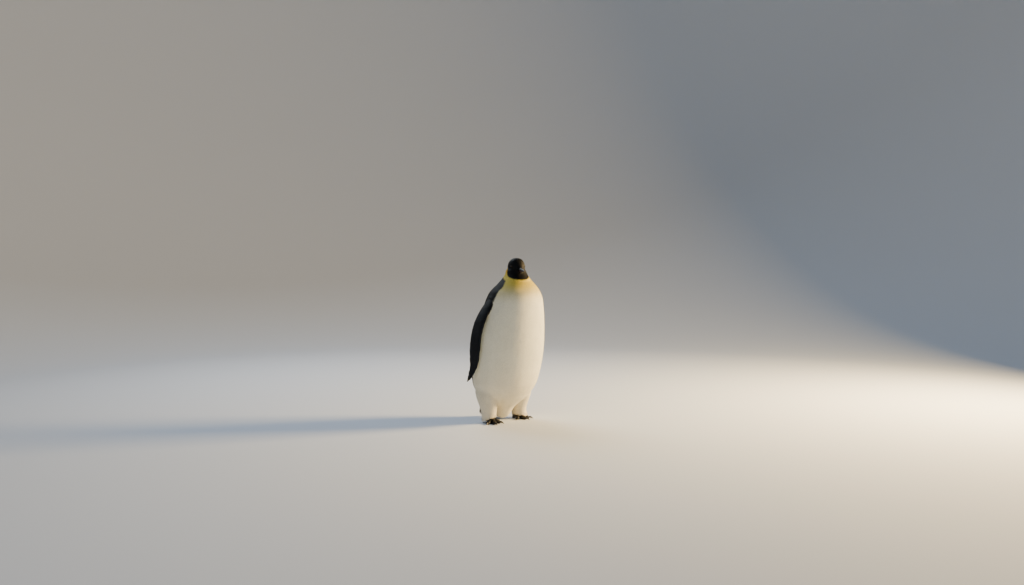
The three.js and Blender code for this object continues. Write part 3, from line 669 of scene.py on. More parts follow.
def store(mesh, name, kind, domain, values):
    """A new attribute of a mesh."""
    layer = mesh.attributes.new(name, kind, domain)
    key = {"FLOAT_VECTOR": "vector", "FLOAT2": "vector", "FLOAT_COLOR": "color"}.get(kind, "value")
    layer.data.foreach_set(key, np.asarray(values, np.int32 if kind == "INT" else np.float32).ravel())


skin_points = surface - outward * coat_sizes[:, :1]
move_points(skin_mesh, skin_points)
skin_mesh.shade_smooth()
corner_points = read(skin_mesh.loops, "vertex_index", 1, np.int32)
corner_counts = read(skin_mesh.polygons, "loop_total", 1, np.int32)
faces_of_corner = np.repeat(np.arange(len(corner_counts)), corner_counts)
face_middles = read(skin_mesh.polygons, "center", 3)
first_corner = read(skin_mesh.polygons, "loop_start", 1, np.int32)
face_owners = owner_of[corner_points[first_corner]]
chart_of_face = chart_of(face_middles, face_owners)
chart_place = unrolled(skin_points, faces_of_corner, corner_points, chart_of_face, face_middles)
tile = np.stack([chart_of_face % TILES_ACROSS, chart_of_face // TILES_ACROSS], 1)[faces_of_corner]

store(skin_mesh, "tone", "FLOAT_COLOR", "POINT", tones_at(surface, owner_of, outward))
store(skin_mesh, "tip_tone", "FLOAT_COLOR", "POINT",
      tones_at(surface + lie * coat_sizes[:, 1:2] * TIP_SHARE, owner_of, outward))
store(skin_mesh, "lie", "FLOAT_VECTOR", "POINT", lie)
store(skin_mesh, "outward", "FLOAT_VECTOR", "POINT", outward_laid)
store(skin_mesh, "hang", "FLOAT", "POINT", hang)
store(skin_mesh, "coat_size", "FLOAT_VECTOR", "POINT", coat_sizes)
store(skin_mesh, "chart", "INT", "FACE", np.where(bare[corner_points[first_corner]], -1, chart_of_face))
store(skin_mesh, "chart_place", "FLOAT2", "CORNER", chart_place)
atlas = skin_mesh.uv_layers.new(name="OFBake")
atlas.data.foreach_set("uv", ((chart_place + tile) / (TILES_ACROSS, TILES_UP)).astype(np.float32).ravel())

# ---------------------------------------------------------------- coat of feathers
# Stiff little vanes, rooted in the skin and overlapping like shingles, cover the whole bird.
# They lie back from the bill, down the body and along the flippers, smallest on head and flippers.

VANE_STATIONS = ((0.36, 0.43), (0.80, 0.47))
VANE_CROWN, TIP_LIFT, VANE_TWIST = 0.00018, 0.00016, 0.35
VANE_LEAST, VANE_VARIES = 0.85, 0.3
RISE_POWER, RUFFLE_LEAST, RUFFLE_VARIES = 3.2, 0.975, 0.035
CROWDING = 3.2
BAKE_PATCH = 0.003


def vane_object():
    """One vane a unit long and wide: a closed blade with a crowned face, flat behind, with a sharp rim."""
    points, marks = [(0, 0, 0)], [(0, 0, 0)]
    for along, half in VANE_STATIONS:
        for across, crown in ((-half, 0), (0, 1), (half, 0)):
            points.append((across, along, 0))
            marks.append((2 * across, along, crown))
    points.append((0, 1, 0))
    marks.append((0, 1, 0))
    tip = len(points) - 1
    faces = [(0, 3, 2), (0, 2, 1), (2, 3, 6, 5), (1, 2, 5, 4), (5, 6, tip), (4, 5, tip),
             (0, 1, 3), (1, 4, 6, 3), (4, tip, 6)]
    mesh = mesh_of("vane", points, faces)
    store(mesh, "vane", "FLOAT_VECTOR", "POINT", marks)
    rims = {(0, 1), (0, 3), (1, 4), (3, 6), (4, tip), (6, tip)}
    sharp = mesh.attributes.new("sharp_edge", "BOOLEAN", "EDGE")
    sharp.data.foreach_set("value", [tuple(sorted(e.vertices)) in rims for e in mesh.edges])
    return linked(mesh, "vane")


def plumage_tree():
    """Geometry Nodes that root vanes in one chart of the skin and lay them over it."""
    tree = bpy.data.node_groups.new("plumage", "GeometryNodeTree")
    for name, kind in (("Skin", "Geometry"), ("Vane", "Object"), ("Chart", "Int"), ("Spacing", "Float"),
                       ("Seed", "Int"), ("Crown", "Float"), ("Lift", "Float"), ("Twist", "Float"),
                       ("Patch", "Float"), ("Finish", "Material")):
        tree.interface.new_socket(name=name, in_out="INPUT", socket_type="NodeSocket" + kind)
    tree.interface.new_socket(name="Coat", in_out="OUTPUT", socket_type="NodeSocketGeometry")
    given = tree.nodes.new("NodeGroupInput").outputs

    def out(kind, inputs=(), pick=0, **settings):
        """One output of a new node."""
        return socket_of(add_node(tree, kind, inputs, **settings).outputs, pick)

    def named(name, kind="FLOAT_VECTOR"):
        """An attribute of the mesh."""
        return out("GeometryNodeInputNamedAttribute", {"Name": name}, "Attribute", data_type=kind)

    def vector(operation, first, second, scaled=False):
        """A sum on a vector, with another or with a scale."""
        second_socket = "Scale" if scaled else 1
        return out("ShaderNodeVectorMath", {0: first, second_socket: second}, operation=operation)

    def number(operation, first, second):
        """A sum on two numbers."""
        return out("ShaderNodeMath", {0: first, 1: second}, operation=operation)

    def parts(value):
        """The three numbers of a vector."""
        return tree.nodes[out("ShaderNodeSeparateXYZ", {0: value}).node.name].outputs

    def keep(geometry, name, kind, domain, value):
        """The geometry with a new attribute."""
        return out("GeometryNodeStoreNamedAttribute", {"Geometry": geometry, "Name": name, "Value": value},
                   data_type=kind, domain=domain)

    # Roots stand an even distance apart, and each vane has its own slight turn, size and height.
    inside = out("FunctionNodeCompare", {"A": named("chart", "INT"), "B": given["Chart"]},
                 data_type="INT", operation="EQUAL")
    crowding = number("DIVIDE", CROWDING, number("MULTIPLY", given["Spacing"], given["Spacing"]))
    rooted = add_node(tree, "GeometryNodeDistributePointsOnFaces",
                      {"Mesh": given["Skin"], "Selection": inside, "Distance Min": given["Spacing"],
                       "Density Max": crowding, "Seed": given["Seed"]}, distribute_method="POISSON")
    chance = out("FunctionNodeRandomValue", {"Min": (0, 0, 0), "Max": (1, 1, 1), "Seed": given["Seed"]},
                 "Value", data_type="FLOAT_VECTOR")
    roots = keep(rooted.outputs["Points"], "chance", "FLOAT_VECTOR", "POINT", chance)
    chances = parts(named("chance"))
    laid = out("FunctionNodeAxesToRotation",
               {"Primary Axis": named("outward"), "Secondary Axis": named("lie")},
               primary_axis="Z", secondary_axis="Y")
    swing = number("MULTIPLY", number("SUBTRACT", chances[0], 0.5), given["Twist"])
    spun = out("FunctionNodeEulerToRotation", {0: out("ShaderNodeCombineXYZ", {"Z": swing})})
    turned = out("FunctionNodeRotateRotation", {"Rotation": laid, "Rotate By": spun},
                 rotation_space="LOCAL")
    size = parts(named("coat_size"))
    vary = number("ADD", number("MULTIPLY", chances[1], VANE_VARIES), VANE_LEAST)
    scale = out("ShaderNodeCombineXYZ", {"X": number("MULTIPLY", size[2], vary),
                                         "Y": number("MULTIPLY", size[1], vary), "Z": 1.0})
    blade = out("GeometryNodeObjectInfo", {"Object": given["Vane"]}, "Geometry")
    placed = out("GeometryNodeInstanceOnPoints",
                 {"Points": roots, "Instance": blade, "Rotation": turned, "Scale": scale})
    loose = out("GeometryNodeRealizeInstances", {"Geometry": placed})

    # Each point of a vane is laid on the skin, at the height that its place along the vane gives it.
    # Only the vanes at a hem hang straight and free.
    vane = parts(named("vane"))
    rise = number("SUBTRACT", 1.0, number("POWER", number("SUBTRACT", 1.0, vane[1]), RISE_POWER))
    ruffle = number("ADD", RUFFLE_LEAST, number("MULTIPLY", chances[2], RUFFLE_VARIES))
    lift = number("MULTIPLY", number("MULTIPLY", vane[1], vane[1]), given["Lift"])
    height = number("ADD", number("MULTIPLY", number("MULTIPLY", size[0], rise), ruffle),
                    number("ADD", number("MULTIPLY", vane[2], given["Crown"]), lift))
    place = out("GeometryNodeInputPosition")
    on_skin = out("GeometryNodeSampleNearestSurface", {"Mesh": given["Skin"], "Value": place}, "Value",
                  data_type="FLOAT_VECTOR")
    away = out("GeometryNodeSampleNearestSurface", {"Mesh": given["Skin"], "Value": named("outward")},
               "Value", data_type="FLOAT_VECTOR")
    laid_flat = vector("ADD", on_skin, vector("SCALE", away, height, True))
    hung = vector("ADD", place, vector("SCALE", named("outward"), height, True))
    settled = out("ShaderNodeMix", {0: named("hang", "FLOAT"), 4: laid_flat, 5: hung}, 1,
                  data_type="VECTOR")
    lain = out("GeometryNodeSetPosition", {"Geometry": loose, "Position": settled})

    # Its map is a small patch at its root's place on the chart, and its colour is that of its tip.
    spot = out("ShaderNodeCombineXYZ", {"X": number("MULTIPLY", vane[0], 0.5),
                                        "Y": number("SUBTRACT", vane[1], 0.5)})
    patch = vector("SCALE", spot, given["Patch"], True)
    coat = keep(lain, "OFBake", "FLOAT2", "CORNER", vector("ADD", named("chart_place"), patch))
    coat = keep(coat, "tone", "FLOAT_COLOR", "POINT", named("tip_tone", "FLOAT_COLOR"))
    coat = keep(coat, "feather", "FLOAT_VECTOR", "POINT",
                out("ShaderNodeCombineXYZ", {"X": vane[0], "Y": vane[1], "Z": chances[0]}))
    for name in ("vane", "chance", "lie", "outward", "hang", "coat_size", "chart_place", "tip_tone"):
        coat = out("GeometryNodeRemoveAttribute", {"Geometry": coat, "Name": name})
    coat = out("GeometryNodeSetShadeSmooth", {"Geometry": coat, "Shade Smooth": True})
    coat = out("GeometryNodeSetMaterial", {"Geometry": coat, "Material": given["Finish"]})
    tree.links.new(coat, tree.nodes.new("NodeGroupOutput").inputs[0])
    return tree


def grown(tree, mesh, **values):
    """The plain mesh that a tree of Geometry Nodes grows on a mesh, with the tree's named inputs set."""
    carrier = linked(mesh, "carrier")
    modifier = carrier.modifiers.new("grow", "NODES")
    modifier.node_group = tree
    sockets = {item.name: item.identifier for item in tree.interface.items_tree if item.in_out == "INPUT"}
    for name, value in values.items():
        modifier[sockets[name]] = value
    seen = carrier.evaluated_get(bpy.context.evaluated_depsgraph_get())
    made = bpy.data.meshes.new_from_object(seen)
    bpy.data.objects.remove(carrier)
    return made


def feather_detail():
    """Shader group for one vane: a shaft, slanting barbs, a rim and a chance of its own over the tone."""
    group = bpy.data.node_groups.new("feather_detail", "ShaderNodeTree")
    for name, kind in (("Tone", "Color"), ("Feather", "Vector"), ("Shaft", "Float"), ("Barbs", "Float"),
                       ("Rim", "Float"), ("Variety", "Float"), ("Stain", "Float")):
        group.interface.new_socket(name=name, in_out="INPUT", socket_type="NodeSocket" + kind)
    group.interface.new_socket(name="Color", in_out="OUTPUT", socket_type="NodeSocketColor")
    group.interface.new_socket(name="Height", in_out="OUTPUT", socket_type="NodeSocketFloat")
    given = group.nodes.new("NodeGroupInput").outputs

    def number(operation, first, second=0.0):
        """A sum on two numbers."""
        return add_node(group, "ShaderNodeMath", {0: first, 1: second}, operation=operation).outputs[0]

    def ramp(value, low, high, start=0.0, end=1.0):
        """A soft change from the start value to the end value, from low to high."""
        return add_node(group, "ShaderNodeMapRange", {0: value, 1: low, 2: high, 3: start, 4: end},
                        interpolation_type="SMOOTHSTEP").outputs[0]

    marks = add_node(group, "ShaderNodeSeparateXYZ", {0: given["Feather"]}).outputs
    aside = number("ABSOLUTE", marks[0])
    shaft = ramp(aside, 0.03, 0.13, 1.0, 0.0)
    slant = number("SUBTRACT", number("MULTIPLY", marks[1], 74.0), number("MULTIPLY", aside, 26.0))
    barbs = number("SINE", slant)
    rim = number("MAXIMUM", ramp(marks[1], 0.86, 1.0), ramp(aside, 0.72, 0.95))
    place = add_node(group, "ShaderNodeTexCoord").outputs["Object"]
    stain = add_node(group, "ShaderNodeTexNoise", {"Vector": place, "Scale": 13.0, "Detail": 3.0})
    change = number("MULTIPLY", shaft, given["Shaft"])
    for amount, mark in (("Barbs", barbs), ("Rim", rim), ("Variety", number("SUBTRACT", marks[2], 0.5)),
                         ("Stain", number("SUBTRACT", stain.outputs[0], 0.5))):
        change = number("ADD", change, number("MULTIPLY", mark, given[amount]))
    color = add_node(group, "ShaderNodeVectorMath", {0: given["Tone"], "Scale": number("ADD", 1.0, change)},
                     operation="SCALE").outputs[0]
    height = number("ADD", number("MULTIPLY", barbs, 0.25), shaft)
    done = group.nodes.new("NodeGroupOutput").inputs
    group.links.new(color, done[0])
    group.links.new(height, done[1])
    return group


def plumage_look(name, roughness, gloss, bump, sheen=0.0, **amounts):
    """Feather finish: the marking's tone, with the detail of a vane at the given amounts."""
    material, tree, shader = finish_of(name, roughness, Sheen_Weight=sheen, Sheen_Roughness=0.4,
                                       Specular_IOR_Level=gloss)
    tone = add_node(tree, "ShaderNodeAttribute", attribute_name="tone").outputs["Color"]
    marks = add_node(tree, "ShaderNodeAttribute", attribute_name="feather").outputs["Vector"]
    detail = add_node(tree, "ShaderNodeGroup", {}, node_tree=feather_details)
    for socket, value in {"Tone": tone, "Feather": marks}.items():
        tree.links.new(value, detail.inputs[socket])
    for socket, value in amounts.items():
        detail.inputs[socket].default_value = value
    tree.links.new(detail.outputs["Color"], shader.inputs["Base Color"])
    relief = add_node(tree, "ShaderNodeBump", {"Strength": bump, "Distance": 0.0002,
                                               "Height": detail.outputs["Height"]})
    tree.links.new(relief.outputs[0], shader.inputs["Normal"])
    return material


feather_details = feather_detail()
PLUMAGE = {
    "head": plumage_look("hood_feathers", roughness=0.56, gloss=0.13, bump=0.5,
                         Shaft=0.4, Barbs=0.20, Rim=0.3, Variety=0.5, Stain=0.5),
    "neck": plumage_look("breast_feathers", roughness=0.62, gloss=0.12, bump=0.3,
                         Shaft=0.05, Barbs=0.04, Rim=0.0, Variety=0.12, Stain=0.25),
    "trunk": plumage_look("body_feathers", roughness=0.66, gloss=0.12, bump=0.3,
                          Shaft=-0.08, Barbs=0.04, Rim=0.05, Variety=0.12, Stain=0.16),
    "flipper": plumage_look("flipper_feathers", roughness=0.5, gloss=0.18, bump=0.5,
                            Shaft=0.2, Barbs=0.12, Rim=0.3, Variety=0.4, Stain=0.3),
    "leg": plumage_look("leg_down", roughness=0.72, gloss=0.12, bump=0.3, sheen=0.1,
                        Shaft=-0.04, Barbs=0.05, Rim=0.0, Variety=0.14, Stain=0.25),
}
plumage = plumage_tree()
vane = vane_object()
for number, (piece, node, spacing, _, _) in enumerate(CHARTS):
    part = node.split("_")[0]
    feathers = grown(plumage, skin_mesh, Vane=vane, Chart=number, Spacing=spacing, Seed=COAT_SEED + number,
                     Crown=VANE_CROWN, Lift=TIP_LIFT, Twist=VANE_TWIST, Patch=BAKE_PATCH,
                     Finish=PLUMAGE[part])
    coat = linked(feathers, piece)
    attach(coat, "root")
bpy.data.objects.remove(vane)

# Between the feathers the skin shows only as a darker shade of their own colour.
skin_look, skin_tree, skin_shader = finish_of("skin", 0.8, Specular_IOR_Level=0.15)
skin_tone = add_node(skin_tree, "ShaderNodeAttribute", attribute_name="tone").outputs["Color"]
skin_place = add_node(skin_tree, "ShaderNodeTexCoord").outputs["Object"]
skin_pores = add_node(skin_tree, "ShaderNodeTexNoise",
                      {"Vector": skin_place, "Scale": 260.0, "Detail": 2.0})
skin_shade = add_node(skin_tree, "ShaderNodeMapRange", {0: skin_pores.outputs[0], 3: 0.8, 4: 1.0})
skin_color = add_node(skin_tree, "ShaderNodeVectorMath", {0: skin_tone, "Scale": skin_shade.outputs[0]},
                      operation="SCALE")
skin_tree.links.new(skin_color.outputs[0], skin_shader.inputs["Base Color"])
skin_relief = add_node(skin_tree, "ShaderNodeBump", {"Strength": 0.3, "Distance": 0.0004,
                                                     "Height": skin_pores.outputs[0]})
skin_tree.links.new(skin_relief.outputs[0], skin_shader.inputs["Normal"])
skin_mesh.materials.append(skin_look)
skin = linked(skin_mesh, "skin")
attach(skin, "root")
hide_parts(*FLESH)

# ---------------------------------------------------------------- bill
# Two long, slender halves of thin black horn over bone, bent down to the tip, the upper one hooked
# a little over the lower. A shallow groove runs from the nostril along each side of the upper half.

BILL_VOXEL, BILL_PASSES, BILL_REGAIN = 0.0008, 130, 0.512
BILL_SLICES, SLICE_HALF = 24, 0.0035
GROOVE_DEPTH, GROOVE_HALF, GROOVE_RISE = 0.0008, 0.0011, 0.0012
HORN = (0.0065, 0.006, 0.006, 1)
HORN_TIP = (0.030, 0.023, 0.018, 1)

horn_points = points_of(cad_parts["bill_upper"].data)
bill_way = np.linalg.eigh(np.cov(horn_points[:, :2].T))[1][:, 1]
bill_way = bill_way * np.sign(bill_way @ (horn_points.mean(0) - head_middle)[:2])
bill_left = np.array([-bill_way[1], bill_way[0]])


def head_place(points):
    """How far points lie ahead of the head's middle, and to its left."""
    arm = (points - head_middle)[:, :2]
    return arm @ bill_way, arm @ bill_left


def refined(names, voxel, passes, extra=(), regain=REGAIN):
    """One fine, round mesh of CAD nodes, joined with any extra closed shapes."""
    points, faces, _ = merged_arrays(names)
    for more_points, more_faces in extra:
        faces += [[len(points) + corner for corner in face] for face in more_faces]
        points += more_points
    mesh = outer_shell(applied(mesh_of("fine", points, faces), "REMESH", mode="VOXEL", voxel_size=voxel))
    move_points(mesh, relaxed(mesh, points_of(mesh), passes, regain))
    mesh.shade_smooth()
    return mesh


def horn_look(name, base, tip, roughness):
    """Polished horn, drawn out in fine lines from root to tip, by the attribute horn: along, across, up."""
    material, tree, shader = finish_of(name, roughness, Specular_IOR_Level=0.35, Coat_Weight=0.12,
                                       Coat_Roughness=0.2)
    horn = add_node(tree, "ShaderNodeAttribute", attribute_name="horn").outputs["Vector"]
    along = add_node(tree, "ShaderNodeSeparateXYZ", {0: horn}).outputs[0]
    drawn = add_node(tree, "ShaderNodeMapping", {"Vector": horn, "Scale": (2.5, 900.0, 900.0)}).outputs[0]
    lines = add_node(tree, "ShaderNodeTexNoise", {"Vector": drawn, "Scale": 1.0, "Detail": 5.0}).outputs[0]
    paler = add_node(tree, "ShaderNodeMapRange", {0: along, 1: 0.45, 2: 1.0},
                     interpolation_type="SMOOTHSTEP")
    color = add_node(tree, "ShaderNodeMix", {0: paler.outputs[0], 6: base, 7: tip}, data_type="RGBA")
    worn = add_node(tree, "ShaderNodeMapRange",
                    {0: lines, 1: 0.3, 2: 0.7, 3: roughness * 0.75, 4: roughness * 1.5})
    relief = add_node(tree, "ShaderNodeBump", {"Strength": 0.25, "Distance": 0.00015, "Height": lines})
    tree.links.new(color.outputs[2], shader.inputs["Base Color"])
    tree.links.new(worn.outputs[0], shader.inputs["Roughness"])
    tree.links.new(relief.outputs[0], shader.inputs["Normal"])
    return material


def finished(mesh, name, look, slot, *nodes):
    """A finished still piece that takes the place of some CAD nodes."""
    mesh.materials.append(look)
    piece = linked(mesh, name)
    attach(piece, "root")
    if nodes:
        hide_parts(*nodes)
    return piece


bill_horn = horn_look("bill_horn", HORN, HORN_TIP, 0.36)
for half in ("upper", "lower"):
    mesh = refined(["bill_" + half], BILL_VOXEL, BILL_PASSES, regain=BILL_REGAIN)
    points = points_of(mesh)
    ahead, aside = head_place(points)
    steps = np.linspace(ahead.min(), ahead.max(), BILL_SLICES)
    slices = [points[np.abs(ahead - step) < SLICE_HALF, 2] for step in steps]
    middles = np.interp(ahead, steps, [(heights.max() + heights.min()) / 2 for heights in slices])
    share = (ahead - ahead.min()) / (ahead.max() - ahead.min())
    if half == "upper":
        off = points[:, 2] - middles - GROOVE_RISE * (1 - share)
        depth = GROOVE_DEPTH * np.exp(-((off / GROOVE_HALF) ** 2))
        depth = depth * blend_over(share, 0.1, 0.28) * (1 - blend_over(share, 0.5, 0.75))
        move_points(mesh, points - normals_of(mesh) * depth[:, None])
    store(mesh, "horn", "FLOAT_VECTOR", "POINT", np.stack([share, aside, points[:, 2] - middles], 1))
    finished(mesh, "bill_horn_" + half, bill_horn, "bill", "bill_" + half)

# ---------------------------------------------------------------- bill plates
# A smooth lilac-rose plate of softer horn, as thin as a fingernail, lies along each side of the
# lower half of the bill. It is deepest at its root and fades towards its point. Its rose is
# darkened and greyed all over as painted shade.

PLATE_VOXEL, PLATE_PASSES = 0.00035, 14
# The plate's own rose, deep at the root and pale at the point, darkened and greyed as painted shade.
PLATE_DEEP_SHADED = (0.080, 0.026, 0.032, 1)
PLATE_PALE_SHADED = (0.125, 0.062, 0.078, 1)
PLATE_BACK, PLATE_WIDENING, PLATE_ROUND, PLATE_NARROWED = 0.0085, 0.09, 0.16, 0.75

plate_look = horn_look("bill_plate", PLATE_DEEP_SHADED, PLATE_PALE_SHADED, 0.3)
for side in ("right", "left"):
    mesh = refined(["bill_plate_" + side], PLATE_VOXEL, PLATE_PASSES)
    points = points_of(mesh)
    ahead, aside = head_place(points)
    share = (ahead - ahead.min()) / (ahead.max() - ahead.min())
    back = PLATE_BACK * (1 - share[:, None]) ** 2
    points[:, :2] += back * (PLATE_WIDENING * np.sign(aside)[:, None] * bill_left - bill_way)
    root = points[share < 0.3, 2]
    narrowed = PLATE_NARROWED * np.clip(1 - share / PLATE_ROUND, 0, 1) ** 2
    points[:, 2] += ((root.max() + root.min()) / 2 - points[:, 2]) * narrowed
    move_points(mesh, points)
    store(mesh, "horn", "FLOAT_VECTOR", "POINT", np.stack([share, aside, points[:, 2]], 1))
    finished(mesh, "plate_" + side, plate_look, "plate", "bill_plate_" + side)

# ---------------------------------------------------------------- eyes
# Wet brown eyeballs with a clear bulge over the pupil. Each looks out to its own side and a
# little ahead, and only the part inside the lids shows.

EYE_ROUND, EYE_ALONG = 48, 32
EYE_AHEAD, EYE_UP = math.radians(18), math.radians(4)
CORNEA_RISE, CORNEA_HALF = 0.045, 0.55
PUPIL_TURN, IRIS_TURN = 0.27, 0.70
PUPIL, EYE_RIM = (0.001, 0.001, 0.001, 1), (0.006, 0.004, 0.004, 1)
IRIS_DARK, IRIS_BROWN = (0.006, 0.0025, 0.001, 1), (0.028, 0.011, 0.004, 1)

eye_radius = (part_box("eye_right")[1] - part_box("eye_right")[0]).z / 2


def eye_axes(name):
    """The way an eye looks, and the two directions across it: ahead, and up."""
    middle = eye_middles[name]
    outer = bill_left * np.sign(head_place(middle[None])[1][0])
    flat = outer * math.cos(EYE_AHEAD) + bill_way * math.sin(EYE_AHEAD)
    gaze = np.array([*(flat * math.cos(EYE_UP)), math.sin(EYE_UP)])
    ahead = unit(np.array([*bill_way, 0.0]) - gaze * (gaze[:2] @ bill_way))
    rise = np.cross(gaze, ahead)
    return gaze, ahead, rise * np.sign(rise[2])


def on_eye(name, turn, way, reach):
    """Points at a turn from the gaze, in a direction round it, and a reach from the eye's middle."""
    gaze, ahead, rise = eye_axes(name)
    turn, way, reach = turn[..., None], way[..., None], reach[..., None]
    flat = np.cos(way) * ahead + np.sin(way) * rise
    return eye_middles[name] + (np.cos(turn) * gaze + np.sin(turn) * flat) * reach


def rings_closed(rows, around, poles=True):
    """Faces of a tube of rings, row by row, with a pole at each end or joined end to start."""
    faces = []
    for row in range(rows - 1 if poles else rows):
        low, high = row * around, (row + 1) % rows * around
        for step in range(around):
            after = (step + 1) % around
            faces.append((low + step, low + after, high + after, high + step))
    if poles:
        faces += [(rows * around, (step + 1) % around, step) for step in range(around)]
        last = (rows - 1) * around
        faces += [(rows * around + 1, last + step, last + (step + 1) % around) for step in range(around)]
    return faces


def facing_out(mesh):
    """The closed mesh with all its faces turned outwards."""
    work = bmesh.new()
    work.from_mesh(mesh)
    bmesh.ops.recalc_face_normals(work, faces=work.faces)
    work.to_mesh(mesh)
    work.free()
    mesh.shade_smooth()
    return mesh


def eye_look():
    """A nearly black pupil, a dark brown streaked iris and a darker rim, under a clear wet coat."""
    material, tree, shader = finish_of("eye", 0.35, Specular_IOR_Level=0.1, Coat_Weight=0.5,
                                       Coat_Roughness=0.03)

    def blend(share, first, second):
        """The second colour over the first by a share."""
        return add_node(tree, "ShaderNodeMix", {0: share, 6: first, 7: second}, data_type="RGBA").outputs[2]

    def past(edge, soft):
        """0 inside an edge round the gaze and 1 outside it."""
        limits = {0: turn, 1: edge - soft, 2: edge + 0.03}
        return add_node(tree, "ShaderNodeMapRange", limits).outputs[0]

    gaze = add_node(tree, "ShaderNodeAttribute", attribute_name="gaze").outputs["Vector"]
    turn, way = add_node(tree, "ShaderNodeSeparateXYZ", {0: gaze}).outputs[:2]
    spun = add_node(tree, "ShaderNodeCombineXYZ", {"X": turn, "Y": way}).outputs[0]
    drawn = add_node(tree, "ShaderNodeMapping", {"Vector": spun, "Scale": (3.0, 14.0, 1.0)}).outputs[0]
    streaks = add_node(tree, "ShaderNodeTexNoise", {"Vector": drawn, "Scale": 1.0, "Detail": 4.0}).outputs[0]
    iris = blend(streaks, IRIS_DARK, IRIS_BROWN)
    within = blend(past(PUPIL_TURN, 0.02), PUPIL, iris)
    tree.links.new(blend(past(IRIS_TURN, 0.08), within, EYE_RIM), shader.inputs["Base Color"])
    return material


wet_eye = eye_look()
for name in EYES:
    turn = np.repeat(np.linspace(0, math.pi, EYE_ALONG + 2)[1:-1], EYE_ROUND)
    way = np.tile(np.linspace(0, 2 * math.pi, EYE_ROUND, endpoint=False), EYE_ALONG)
    turn, way = np.append(turn, (0, math.pi)), np.append(way, (0, 0))
    reach = eye_radius * (1 + CORNEA_RISE * np.exp(-((turn / CORNEA_HALF) ** 2)))
    mesh = mesh_of(name, on_eye(name, turn, way, reach), rings_closed(EYE_ALONG, EYE_ROUND))
    store(mesh, "gaze", "FLOAT_VECTOR", "POINT", np.stack([turn, np.abs(way - math.pi), 0 * way], 1))
    finished(facing_out(mesh), "wet_" + name, wet_eye, "eye", name)

# ---------------------------------------------------------------- lids
# Bare, finely wrinkled black skin folds round each eye, thicker above, and drawn out to a small
# corner ahead and behind. They rest on the eyeball and the head's feathers end against them.

LID_ROUND, LID_AROUND = 72, 12
LID_TURN, LID_CORNER = 0.84, 0.14
LID_THICK, LID_WIDE = 0.0007, 0.0014
LID_FOLDS, LID_FOLD_DEPTH, LID_CLEAR = 34, 0.00008, 0.0002
LID_DARK, LID_PALE = (0.0015, 0.0015, 0.0015, 1), (0.0085, 0.0075, 0.0070, 1)

lid_look, lid_tree, lid_shader = finish_of("lid_skin", 0.68, Specular_IOR_Level=0.2)
lid_place = add_node(lid_tree, "ShaderNodeTexCoord").outputs["Object"]
lid_grain = add_node(lid_tree, "ShaderNodeTexNoise", {"Vector": lid_place, "Scale": 1400.0, "Detail": 3.0})
lid_color = add_node(lid_tree, "ShaderNodeMix", {0: lid_grain.outputs[0], 6: LID_DARK, 7: LID_PALE},
                     data_type="RGBA")
lid_relief = add_node(lid_tree, "ShaderNodeBump",
                      {"Strength": 0.5, "Distance": 0.0002, "Height": lid_grain.outputs[0]})
lid_tree.links.new(lid_color.outputs[2], lid_shader.inputs["Base Color"])
lid_tree.links.new(lid_relief.outputs[0], lid_shader.inputs["Normal"])

for name in EYES:
    way = np.repeat(np.linspace(0, 2 * math.pi, LID_ROUND, endpoint=False), LID_AROUND)
    bend = np.tile(np.linspace(0, 2 * math.pi, LID_AROUND, endpoint=False), LID_ROUND)
    above = np.clip(np.sin(way), 0, 1)
    corner = np.abs(np.cos(way)) ** 6
    wide = LID_WIDE * (1 + 0.35 * above) * (1 - 0.35 * corner)
    turn = LID_TURN + LID_CORNER * corner - 0.06 * above + np.cos(bend) * wide / eye_radius
    fold = LID_FOLD_DEPTH * np.sin(way * LID_FOLDS) * np.clip(np.sin(bend), 0, 1)
    reach = eye_radius + LID_CLEAR + np.sin(bend) * LID_THICK * (1 + 0.4 * above) + fold
    mesh = mesh_of("lids", on_eye(name, turn, way, reach), rings_closed(LID_ROUND, LID_AROUND, poles=False))
    finished(facing_out(mesh), "lids_" + name.split("_")[1], lid_look, "hood")

# ---------------------------------------------------------------- feet
# Thick padded toes joined by a short web, in tough black skin. Each foot is one smooth body whose
# ankle runs up inside the leg's down, and small horny scales overlap over its top, down to the toes.

FOOT_VOXEL, FOOT_PASSES = 0.00125, 26
ANKLE_HALF, ANKLE_FROM, ANKLE_TO, ANKLE_ROUND = 0.019, 0.012, 0.066, 20
SCALE_SIZE = (0.0006, 0.0044, 0.0040)
SCALE_SPACING, SCALE_TWIST, SCALES_TO = 0.00245, 0.5, 0.052
KNUCKLE_FOLD, KNUCKLE_STEP = 0.0004, 0.0085
FOOT_SKIN = (0.0055, 0.0050, 0.0050, 1)
FOOT_WORN = (0.024, 0.021, 0.020, 1)
FOOT_SEED = 31


def ankle_post(foot):
    """A closed post from inside a foot's ankle up into its leg."""
    down = points_of(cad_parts["leg_" + foot].data)
    down = down[down[:, 2] < ANKLE_TO]
    top = (down.min(0) + down.max(0)) / 2
    turns = np.linspace(0, 2 * math.pi, ANKLE_ROUND, endpoint=False)
    ring = [(top[0] + ANKLE_HALF * math.cos(t), top[1] + ANKLE_HALF * math.sin(t)) for t in turns]
    made = [Vector((x, y, z)) for z in (ANKLE_FROM, ANKLE_TO) for x, y in ring]
    made += [Vector((top[0], top[1], ANKLE_TO)), Vector((top[0], top[1], ANKLE_FROM))]
    faces = []
    for low in range(ANKLE_ROUND):
        low_after = (low + 1) % ANKLE_ROUND
        high, high_after = ANKLE_ROUND + low, ANKLE_ROUND + low_after
        faces += [[low, low_after, high_after], [low, high_after, high],
                  [2 * ANKLE_ROUND, high, high_after], [2 * ANKLE_ROUND + 1, low_after, low]]
    return top, (made, faces)


